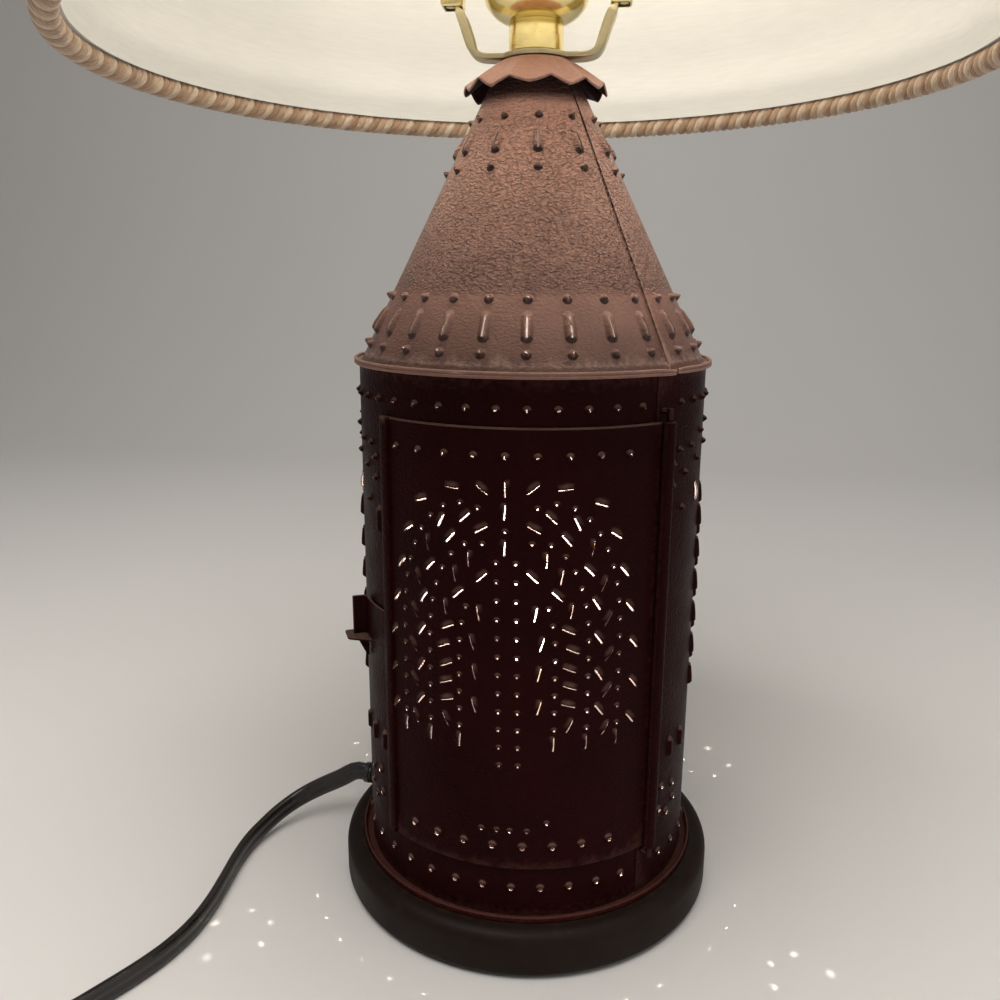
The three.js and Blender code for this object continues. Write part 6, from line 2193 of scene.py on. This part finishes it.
@dataclass
class HarpSet(Part):
    """Harp, its sleeves, stud and finial."""

    leg_x: float = 26.9
    wire: float = 1.4
    sleeve_middle: float = 26.0
    sleeve_bottom: float = 296.46
    leg_top: float = 324.46
    top: float = 485.76
    half_width: float = 56.5
    stud_seat: float = 487.46
    finial_bottom: float = 491.16

    def build(self) -> None:
        """Builds the harp set."""
        rise = self.top - self.leg_top
        bulge = self.half_width - self.leg_x
        right = [(self.leg_x, self.sleeve_bottom + 0.3), (self.leg_x, self.sleeve_bottom + 7),
                 (self.leg_x, self.sleeve_bottom + 14), (self.leg_x, self.leg_top),
                 (self.leg_x + 0.08 * bulge, self.leg_top + 0.05 * rise),
                 (self.leg_x + 0.55 * bulge, self.leg_top + 0.22 * rise),
                 (0.97 * self.half_width, self.leg_top + 0.42 * rise), (self.half_width, self.leg_top + 0.58 * rise),
                 (0.87 * self.half_width, self.leg_top + 0.77 * rise),
                 (0.6 * self.half_width, self.leg_top + 0.91 * rise),
                 (0.3 * self.half_width, self.leg_top + 0.98 * rise)]
        points = [(x, 0.0, z) for x, z in right] + [(0.0, 0.0, self.top)] + [(-x, 0.0, z) for x, z in right[::-1]]
        wire = Mesher.sweep("harp_wire", smooth_path(points, 2.5), circle(self.wire, 14), self.finishes.brass)
        self.settle(wire, "polished_brass", "harp")
        for side, word in ((-1, "left"), (1, "right")):
            self.build_sleeve(side, word)
        seat = self.stud_seat
        stud = Mesher.lathe("stud_turning", [
            (0, seat), (7.0, seat), (7.0, seat + 1.6), (3.2, seat + 1.6), (3.2, seat + 15.4), (2.8, seat + 15.6),
            (0, seat + 15.6),
        ], self.finishes.brass, 64, 0.3)
        self.settle(stud, "polished_brass", "harp_stud")
        low = self.finial_bottom
        ball = [(8.0 * math.cos(a), low + 18.0 + 8.0 * math.sin(a)) for a in np.radians(np.linspace(-58, 90, 20))]
        finial = Mesher.lathe("finial_turning", [
            (3.5, low), (7.6, low), (8.0, low + 0.5), (8.0, low + 1.8), (7.2, low + 2.6), (5.6, low + 3.6),
            (4.9, low + 5.0), (4.6, low + 7.0), (4.5, low + 9.0), (5.1, low + 10.0), (5.1, low + 10.6), *ball,
            (0, low + 12.0), (3.5, low + 12.0),
        ], self.finishes.brass, 72, crease=45.0)
        self.settle(finial, "polished_brass", "finial", body="finial")

    def build_sleeve(self, side: int, word: str) -> None:
        """One sliding sleeve: a flattened tube with turned-in ends.

        Args:
            side: -1 for left, 1 for right.
            word: left or right.
        """
        middle = side * self.sleeve_middle
        rows = []
        ends = ((0.0, 2.6, 2.9), (0.0, 3.1, 3.4), (0.6, 3.4, 3.7), (7.0, 3.4, 3.7), (13.4, 3.4, 3.7), (14.0, 3.1, 3.4),
                (14.0, 2.6, 2.9))
        for rise, half_x, half_y in (*ends, *[(z, 2.6, 2.9) for z in (12.0, 7.0, 2.0)]):
            outline = rounded_box(half_x, half_y, 1.3, 5)
            rows.append([np.array([middle + x, y, self.sleeve_bottom + rise]) for x, y in outline])
        sleeve = Mesher.loft(f"sleeve_tube_{word}", rows, self.finishes.brass, closed=True, crease=45.0)
        self.settle(sleeve, "polished_brass", f"harp_sleeve_{word}", body=f"sleeve_{word}")


@dataclass
class Shade(Part):
    """Cloth cone with its lining and glued overlap, wires and twisted rope trims."""

    bottom_radius: float = 139.0
    top_radius: float = 70.0
    bottom: float = 284.86
    top: float = 492.86
    seam: float = 172.0
    spider_seat: float = 489.36
    bottom_rope: float = 3.8
    bottom_twists: int = 90
    top_rope: float = 3.2
    top_twists: int = 48

    @property
    def height(self) -> float:
        """Height of the cloth."""
        return self.top - self.bottom

    def radius(self, z: float) -> float:
        """Outside radius of the cloth at a height."""
        return float(np.interp(z, [self.bottom, self.top], [self.bottom_radius, self.top_radius]))

    def build(self) -> None:
        """Builds the shade."""
        self.build_panel()
        self.build_wires()
        self.build_rope("bottom", self.bottom_radius - 0.5, self.bottom - 4.1, self.bottom_rope, self.bottom_twists)
        self.build_rope("top", self.top_radius - 0.5, self.top + 3.5, self.top_rope, self.top_twists)

    def hem(self, z: float) -> float:
        """Inside radius of the lining where it is turned over the bottom ring.

        Args:
            z: the height.

        Returns:
            The radius.
        """
        ring = self.bottom + 3.5
        if z < ring:
            return 133.35 + 1.2 * (ring - z) / 3.5
        return self.radius(z) - 1.0 - 3.5 * math.exp(-((z - ring) / 11.0) ** 2)

    def build_panel(self) -> None:
        """Cloth outside, lining inside, with a glued overlap up the back and faint waves."""
        sides = 240
        heights = [*np.linspace(self.bottom, self.bottom + 28.0, 15), *np.linspace(self.bottom + 36.0, self.top, 22)]
        levels = len(heights)
        outer, inner = [], []
        for z in heights:
            for side in range(sides):
                azimuth = 360.0 * side / sides
                off = turn_from(self.seam, azimuth)
                lap = 0.35 * float(smoothstep(-3.4, -3.0, off) * (1 - smoothstep(3.0, 3.4, off)))
                swell = math.sin(math.pi * (z - self.bottom) / self.height)
                wave = 0.22 * math.sin(math.radians(5 * azimuth) + z * 0.01) * swell
                radius = self.radius(z) + wave
                outer.append(around(azimuth, radius - 0.35 + lap, z))
                turned_down = 1.5 if z == self.bottom else 0.0
                inner.append(around(azimuth, min(radius - 1.0 - 0.4 * lap, self.hem(z)), z - turned_down))
        count = sides * levels
        skin = Mesher.grid_faces(levels, sides, False, True)
        faces: list[Sequence[int]] = [tuple(f) for f in skin]
        faces += [tuple(count + i for i in f[::-1]) for f in skin]
        for level in (0, levels - 1):
            start = level * sides
            for side in range(sides):
                beside = start + (side + 1) % sides
                rim = (start + side, count + start + side, count + beside, beside)
                faces.append(rim if level == 0 else rim[::-1])
        finish = [0] * len(skin) + [1] * len(skin) + [1] * sides + [0] * sides
        panel = Mesher.add("shade_cone", np.array(outer + inner), faces, [self.finishes.linen, self.finishes.lining],
                           finish, crease=50.0)
        self.settle(panel, "shade_linen", "shade_panel", body="shade")

    def build_wires(self) -> None:
        """Bottom ring, and the spider with its ring, arms and washer."""
        slant = math.hypot(1.0, (self.bottom_radius - self.top_radius) / self.height)
        inset = 1.0 + 1.8 * slant
        low, high = self.bottom + 3.5, self.top - 3.5
        wire = circle(1.5, 10)
        ring = Mesher.sweep("bottom_wire", self.hoop(self.radius(low) - inset, low), wire, self.finishes.steel, True)
        self.settle(ring, "plated_steel", "shade_bottom_ring", body="shade")
        seat, face = self.spider_seat, self.spider_seat + 1.5
        washer = [(3.5, seat), (12.0, seat), (12.0, face), (3.5, face)]
        hub = Mesher.lathe("spider_washer", washer, self.finishes.steel, 64, 0.3)
        self.settle(hub, "plated_steel", "shade_spider", body="shade")
        hoop = self.radius(high) - inset
        top = Mesher.sweep("spider_ring", self.hoop(hoop, high), wire, self.finishes.steel, True)
        self.settle(top, "plated_steel", body="shade")
        for arm in range(3):
            azimuth = 120.0 * arm
            points = [around(azimuth, 9.5, seat), around(azimuth, 30.0, seat - 0.2), around(azimuth, hoop, high)]
            path = smooth_path(points, 2.0)
            arm_wire = Mesher.sweep(f"spider_arm_{arm + 1}", path, circle(1.4, 10), self.finishes.steel)
            self.settle(arm_wire, "plated_steel", body="shade")

    @staticmethod
    def hoop(radius: float, z: float, sides: int = 160) -> np.ndarray:
        """Points of a level ring."""
        return np.array([around(360.0 * side / sides, radius, z) for side in range(sides)])

    def build_rope(self, word: str, radius: float, z: float, rope: float, twists: int) -> None:
        """Three strands twisted round a ring.

        Args:
            word: top or bottom.
            radius: radius of the ring.
            z: height of the ring.
            rope: radius of the rope.
            twists: full turns of a strand round the ring.
        """
        steps = twists * 14
        strand = 0.47 * rope
        for number, finish in enumerate(self.finishes.strands):
            points = []
            for step in range(steps):
                turn = 2 * math.pi * step / steps
                twist = twists * turn + 2 * math.pi * number / 3
                off = rope - strand
                points.append(around(math.degrees(turn), radius + off * math.cos(twist), z + off * math.sin(twist)))
            coil = Mesher.sweep(f"rope_{word}_{number + 1}", np.array(points), circle(strand, 10), finish, closed=True)
            nodes = (f"shade_trim_{word}",) if number == 0 else ()
            self.settle(coil, "twisted_rope", *nodes, body="shade")


@dataclass
class CordSet(Part):
    """Bushing, flat twin cord with its coil, tie and plug, and the leads inside the lantern."""

    width: float = 7.0
    thickness: float = 3.6
    exit_azimuth: float = CORD_EXIT_AZIMUTH
    exit_z: float = CORD_EXIT_Z
    tip: float = 65.3
    gap: float = 0.3
    centre: Pair = (-112.0, -157.0)
    inner: float = 32.6
    outer: float = 46.8
    turns: float = 6.349
    start: float = 144.4
    lift: float = 1.4
    layer_gap: float = 0.6
    dip: float = 2.2
    lead_in: float = 7.0
    tail_level: float = 21.0
    tail_ramp: float = 26.0
    plug_thickness: float = 13.0
    route: tuple[Triple, ...] = (
        (-75.8, 11.8, 19.4), (-84.6, 12.8, 14.3), (-92.4, 10.6, 10.3), (-98.6, 4.6, 7.4), (-103.0, -4.2, 5.3),
        (-105.3, -12.0, 4.3), (-106.1, -22.0, 3.8), (-105.7, -34.6, 3.7), (-105.5, -48.0, 3.7), (-106.9, -60.6, 3.7),
        (-110.3, -71.4, 3.7), (-114.6, -80.0, 3.7), (-119.8, -88.4, 3.7), (-126.0, -98.0, 3.8), (-132.6, -107.4, 4.2),
    )

    def coil(self) -> tuple[np.ndarray, np.ndarray, np.ndarray, np.ndarray]:
        """The wound cord's middle line.

        Returns:
            Points from the lead-in to the plug, the roll at each, the heading at the start and that at the end.
        """
        low = self.lift + self.width / 2
        high = low + self.width + self.layer_gap
        plug_z = self.plug_thickness / 2
        total = self.turns * 2 * math.pi
        turn = np.linspace(0.0, total, round(self.turns * 48) + 1)
        off = turn - total / 2
        dip = np.where(np.abs(off) < math.pi, self.dip * np.cos(off / 2) ** 2, 0.0)
        radius = self.inner + (self.outer - self.inner) * np.abs(off) / (total / 2) - dip
        angle = math.radians(self.start) + turn
        z = low + (high - low) * smoothstep(-math.pi / 2, math.pi / 2, off)
        wound = np.stack([self.centre[0] + radius * np.cos(angle), self.centre[1] + radius * np.sin(angle), z], axis=1)
        lead = (wound[2] - wound[0]) * np.array([1, 1, 0])
        lead /= np.linalg.norm(lead)
        out = (wound[-1] - wound[-3]) * np.array([1, 1, 0])
        out /= np.linalg.norm(out)
        share = np.linspace(0.0, 1.0, 9)
        ramp = wound[-1] + out * (self.tail_level + share[:, None] * self.tail_ramp)
        ramp[:, 2] = high + (plug_z - high) * smoothstep(0.0, 1.0, share)
        level = wound[-1] + out * np.linspace(3.0, self.tail_level - 3.0, 6)[:, None]
        end = wound[-1] + out * (self.tail_level + self.tail_ramp + self.width)
        end[2] = plug_z
        points = np.vstack([wound[:1] - lead * self.lead_in, wound, level, ramp, end[None, :]])
        rolls = np.concatenate([np.zeros(1 + len(wound) + len(level)), smoothstep(0.0, 1.0, share) * math.pi / 2,
                                [math.pi / 2]])
        return points, rolls, lead, out

    def section(self) -> np.ndarray:
        """Section of the flat twin cord: two round cores with a groove between them, upright along its width.

        Returns:
            Corners of the section.
        """
        points = []
        for angle in np.linspace(0.0, 2 * math.pi, 28, endpoint=False):
            upright = self.width / 2 * math.sin(angle)
            belly = 1.0 - 0.34 * math.exp(-(upright / 0.75) ** 2)
            across = math.copysign(abs(math.cos(angle)) ** 0.55, math.cos(angle))
            points.append((self.thickness / 2 * across * belly, upright))
        return np.array(points)

    def build(self) -> None:
        """Builds the cord and what is on it."""
        wound, rolls, lead, out = self.coil()
        begin = self.tip + self.gap
        free = [around(self.exit_azimuth, begin, self.exit_z),
                around(self.exit_azimuth, begin + self.thickness, self.exit_z), *map(np.array, self.route),
                wound[0] - lead * self.width * 0.5]
        run = smooth_path([tuple(p) for p in free], 2.6)
        path = np.vstack([run, wound])
        turned = np.concatenate([np.zeros(len(run)), rolls])
        cord = Mesher.sweep("flat_cord", path, self.section(), self.finishes.cord, up=(0, 0, 1), rolls=turned,
                            crease=70.0)
        self.settle(cord, "cord_vinyl", "cord", "cord_coil")
        plug = self.build_plug(wound[-1], out)
        tie = self.build_tie()
        for node in ("plug_blade_1", "plug_blade_2"):
            self.dress(node, self.finishes.brass, 0.25)
        for node in ("night_lead", "riser_lead"):
            self.dress(node, self.finishes.cord)
        self.build_bushing()

    def build_bushing(self) -> None:
        """The rubber bushing in the body's wall, with rings on its nose."""
        wall = BODY_OUTSIDE
        profile = [(0.0, 44.6), (3.6, 44.6), (3.9, 45.0), (5.7, 52.6), (5.7, 54.2), (4.1, 54.2), (4.1, wall),
                   (5.4, wall), (5.7, wall + 0.3), (5.7, wall + 1.3), (5.4, wall + 1.6), (4.1, wall + 1.7)]
        for ring in range(3):
            start, shrink = wall + 2.0 + 1.2 * ring, 0.05 * ring
            profile += [(4.1 - shrink, start), (3.7 - shrink, start + 0.3), (3.7 - shrink, start + 0.8),
                        (4.1 - shrink, start + 1.1)]
        profile += [(3.9, self.tip - 0.2), (3.7, self.tip), (0.0, self.tip)]
        bushing = Mesher.lathe("rubber_bushing", profile, self.finishes.cord, 40)
        outward = around(self.exit_azimuth, 1.0, 0.0)
        side = np.cross([0.0, 0.0, 1.0], outward)
        turn = Matrix([[*map(float, row)] for row in np.column_stack([side, [0.0, 0.0, 1.0], outward])]).to_4x4()
        bushing.data.transform(Matrix.Translation((0, 0, self.exit_z * MM)) @ turn)
        self.settle(bushing, "cord_vinyl", "cord_bushing")

    def build_plug(self, end: np.ndarray, out: np.ndarray) -> Piece:
        """The moulded plug: a ribbed neck that widens into a rounded body with finger hollows.

        Args:
            end: where the cord ends.
            out: heading of the cord's end.

        Returns:
            The plug.
        """
        side = np.array([-out[1], out[0], 0.0])
        rows = []
        for reach, half, thick in ((0.3, 5.0, 3.6), (1.2, 5.4, 4.2), (2.4, 5.4, 4.2), (3.0, 6.0, 4.6), (4.4, 6.2, 4.8),
                                   (5.2, 7.2, 5.2), (7.0, 8.4, 5.8), (9.6, 10.4, 6.2), (13.0, 10.8, 6.3),
                                   (17.0, 10.4, 6.1), (21.0, 10.5, 6.1), (25.0, 10.9, 6.3),
                                   (29.4, 10.9, 6.3), (30.3, 10.4, 5.8)):
            outline = rounded_box(half, thick, 3.0, 5)
            rows.append([end + out * reach + side * across + np.array([0.0, 0.0, up]) for across, up in outline])
        plug = Mesher.loft("moulded_plug", rows, self.finishes.cord)
        return self.settle(plug, "cord_vinyl", "plug_body")

    def build_tie(self) -> Piece:
        """The strap round the coil.

        Returns:
            The strap.
        """
        low, high = self.lift, self.lift + 2 * self.width + self.layer_gap
        near = self.inner - self.dip - self.thickness / 2
        far = self.outer + self.thickness / 2
        azimuth = math.radians(20.0)
        outward = np.array([math.cos(azimuth), math.sin(azimuth), 0.0])
        across = np.array([-outward[1], outward[0], 0.0])
        corners = [(near - 0.9, low - 0.9), (far + 0.9, low - 0.9), (far + 0.9, high + 0.9), (near - 0.9, high + 0.9)]
        loop = round_corners(corners, 1.6, 5)
        path = np.array([np.array([*self.centre, 0.0]) + outward * r + np.array([0.0, 0.0, z]) for r, z in loop])
        section = np.array(rounded_box(4.0, 0.45, 0.3, 3))
        rows = []
        for place, point in enumerate(path):
            before, after = path[place - 1], path[(place + 1) % len(path)]
            tangent = (after - before) / np.linalg.norm(after - before)
            normal = np.cross(across, tangent)
            rows.append([point + across * a + normal * b for a, b in section])
        tie = Mesher.loft("coil_strap", rows, self.finishes.card, closed=True)
        return self.settle(tie, "fibre_card", "coil_tie")


# Stage


@dataclass(frozen=True)
class Light:
    """A light: its power in watts, place and size in millimetres, and colour; an area light has a point it faces."""

    name: str
    power: float
    place: Triple
    size: float
    colour: Colour
    aim: Triple | None = None

    def build(self) -> None:
        """Adds the light to the scene."""
        light = bpy.data.lights.new(self.name, "AREA" if self.aim else "POINT")
        light.energy = self.power
        light.color = self.colour
        holder = bpy.data.objects.new(self.name, light)
        holder.location = Vector(self.place) * MM
        if self.aim:
            light.size = self.size * MM
            holder.rotation_euler = (Vector(self.aim) - Vector(self.place)).to_track_quat("-Z", "Y").to_euler()
        else:
            light.shadow_soft_size = self.size * MM
        bpy.context.scene.collection.objects.link(holder)


@dataclass
class Studio:
    """Camera, floor, backdrop and lights."""

    camera_at: Triple = (22.94, -308.75, 215.0)
    yaw: float = -6.184
    pitch: float = 13.69
    roll: float = 0.319
    focal_share: float = 0.9116
    sensor: float = 36.0
    floor: Colour = (0.75, 0.727, 0.70)
    floor_front: float = -2500.0
    sweep_start: float = 750.0
    sweep_radius: float = 550.0
    wall_top: float = 2600.0
    half_width: float = 3000.0
    air: Colour = (0.94, 0.95, 0.96)
    air_light: float = 0.12
    air_seen: float = 0.4
    lights: tuple[Light, ...] = (
        Light("overhead", power=14.6, place=(-60, -440, 1150), size=900, colour=(1.0, 0.97, 0.93),
              aim=(20, -230, 0)),
        Light("back_fill", power=0.3, place=(300, 1000, 1000), size=700, colour=(1.0, 0.98, 0.96),
              aim=(0, 0, 250)),
        Light("right_fill", power=1.4, place=(900, -500, 500), size=700, colour=(1.0, 0.98, 0.96),
              aim=(0, 0, 120)),
        Light("main_bulb", power=0.43, place=(0, 0, 385), size=26, colour=(1.0, 0.93, 0.83)),
        Light("night_bulb", power=1.4, place=(0, 0, 99), size=0.8, colour=(1.0, 0.93, 0.84)),
    )

    def build_camera(self) -> None:
        """The camera at the photograph's place."""
        yaw, pitch, roll = map(math.radians, (self.yaw, self.pitch, self.roll))
        level = np.array([math.sin(yaw), math.cos(yaw), 0.0])
        right = np.array([math.cos(yaw), -math.sin(yaw), 0.0])
        up = np.array([0.0, 0.0, 1.0])
        ahead = level * math.cos(pitch) - up * math.sin(pitch)
        above = level * math.sin(pitch) + up * math.cos(pitch)
        aside = right * math.cos(roll) + above * math.sin(roll)
        above = above * math.cos(roll) - right * math.sin(roll)
        lens = bpy.data.cameras.new("camera")
        lens.sensor_fit = "HORIZONTAL"
        lens.sensor_width = self.sensor
        lens.lens = self.sensor * self.focal_share
        lens.clip_start = 0.01
        lens.clip_end = 50.0
        camera = bpy.data.objects.new("camera", lens)
        axes = Matrix([[float(aside[k]), float(above[k]), float(-ahead[k])] for k in range(3)]).to_4x4()
        camera.matrix_world = Matrix.Translation(Vector(self.camera_at) * MM) @ axes
        bpy.context.scene.collection.objects.link(camera)
        bpy.context.scene.camera = camera

    def build_stage(self) -> None:
        """A pale floor that sweeps up into a backdrop."""
        coat = Coat(Finish("pale_sweep", self.floor, 0.55))
        patch = coat.noise(coat.place, 0.004, 2.0)
        coat.set("Base Color", coat.blend(patch, shade(self.floor, 0.98), shade(self.floor, 1.02)))
        start, bend = self.sweep_start, self.sweep_radius
        profile = [(self.floor_front, 0.0), (start, 0.0)]
        profile += [(start + bend * math.sin(a), bend - bend * math.cos(a)) for a in np.linspace(0.1, math.pi / 2, 16)]
        profile.append((start + bend, self.wall_top))
        points = [(x, y, z) for y, z in profile for x in (-self.half_width, self.half_width)]
        faces = Mesher.grid_faces(len(profile), 2, False, False)
        sweep = Mesher.add("pale_sweep", np.array(points), faces, [coat.material])

    def build_lights(self) -> None:
        """Soft studio light, and the two bulbs, which are on."""
        world = bpy.data.worlds.new("studio_air")
        world.use_nodes = True
        wiring = Wiring(world.node_tree)
        air = world.node_tree.nodes["Background"]
        wiring.feed(air, "Color", opaque(self.air))
        ray = wiring.add("ShaderNodeLightPath").outputs
        seen = wiring.maths("ADD", ray["Is Camera Ray"], ray["Is Glossy Ray"])
        seen = wiring.maths("ADD", seen, ray["Is Transmission Ray"])
        wiring.feed(air, "Strength", wiring.remap(seen, 0.0, 1.0, self.air_light, self.air_seen))
        bpy.context.scene.world = world
        for light in self.lights:
            light.build()


def main() -> None:
    """Builds the lamp on its frame and reports each piece."""
    logging.basicConfig(level=logging.INFO, format="%(name)s: %(message)s")
    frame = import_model()
    studio = Studio()
    studio.build_camera()
    finishes = Finishes()
    for part in (CordSet, Base, NightLight, Lantern, Roof, Socket, HarpSet, Shade):
        part(frame["nodes"], finishes).build()
    studio.build_stage()
    studio.build_lights()
    scene = bpy.context.scene
    scene.view_settings.view_transform = "Standard"


if __name__ == "__main__":
    main()
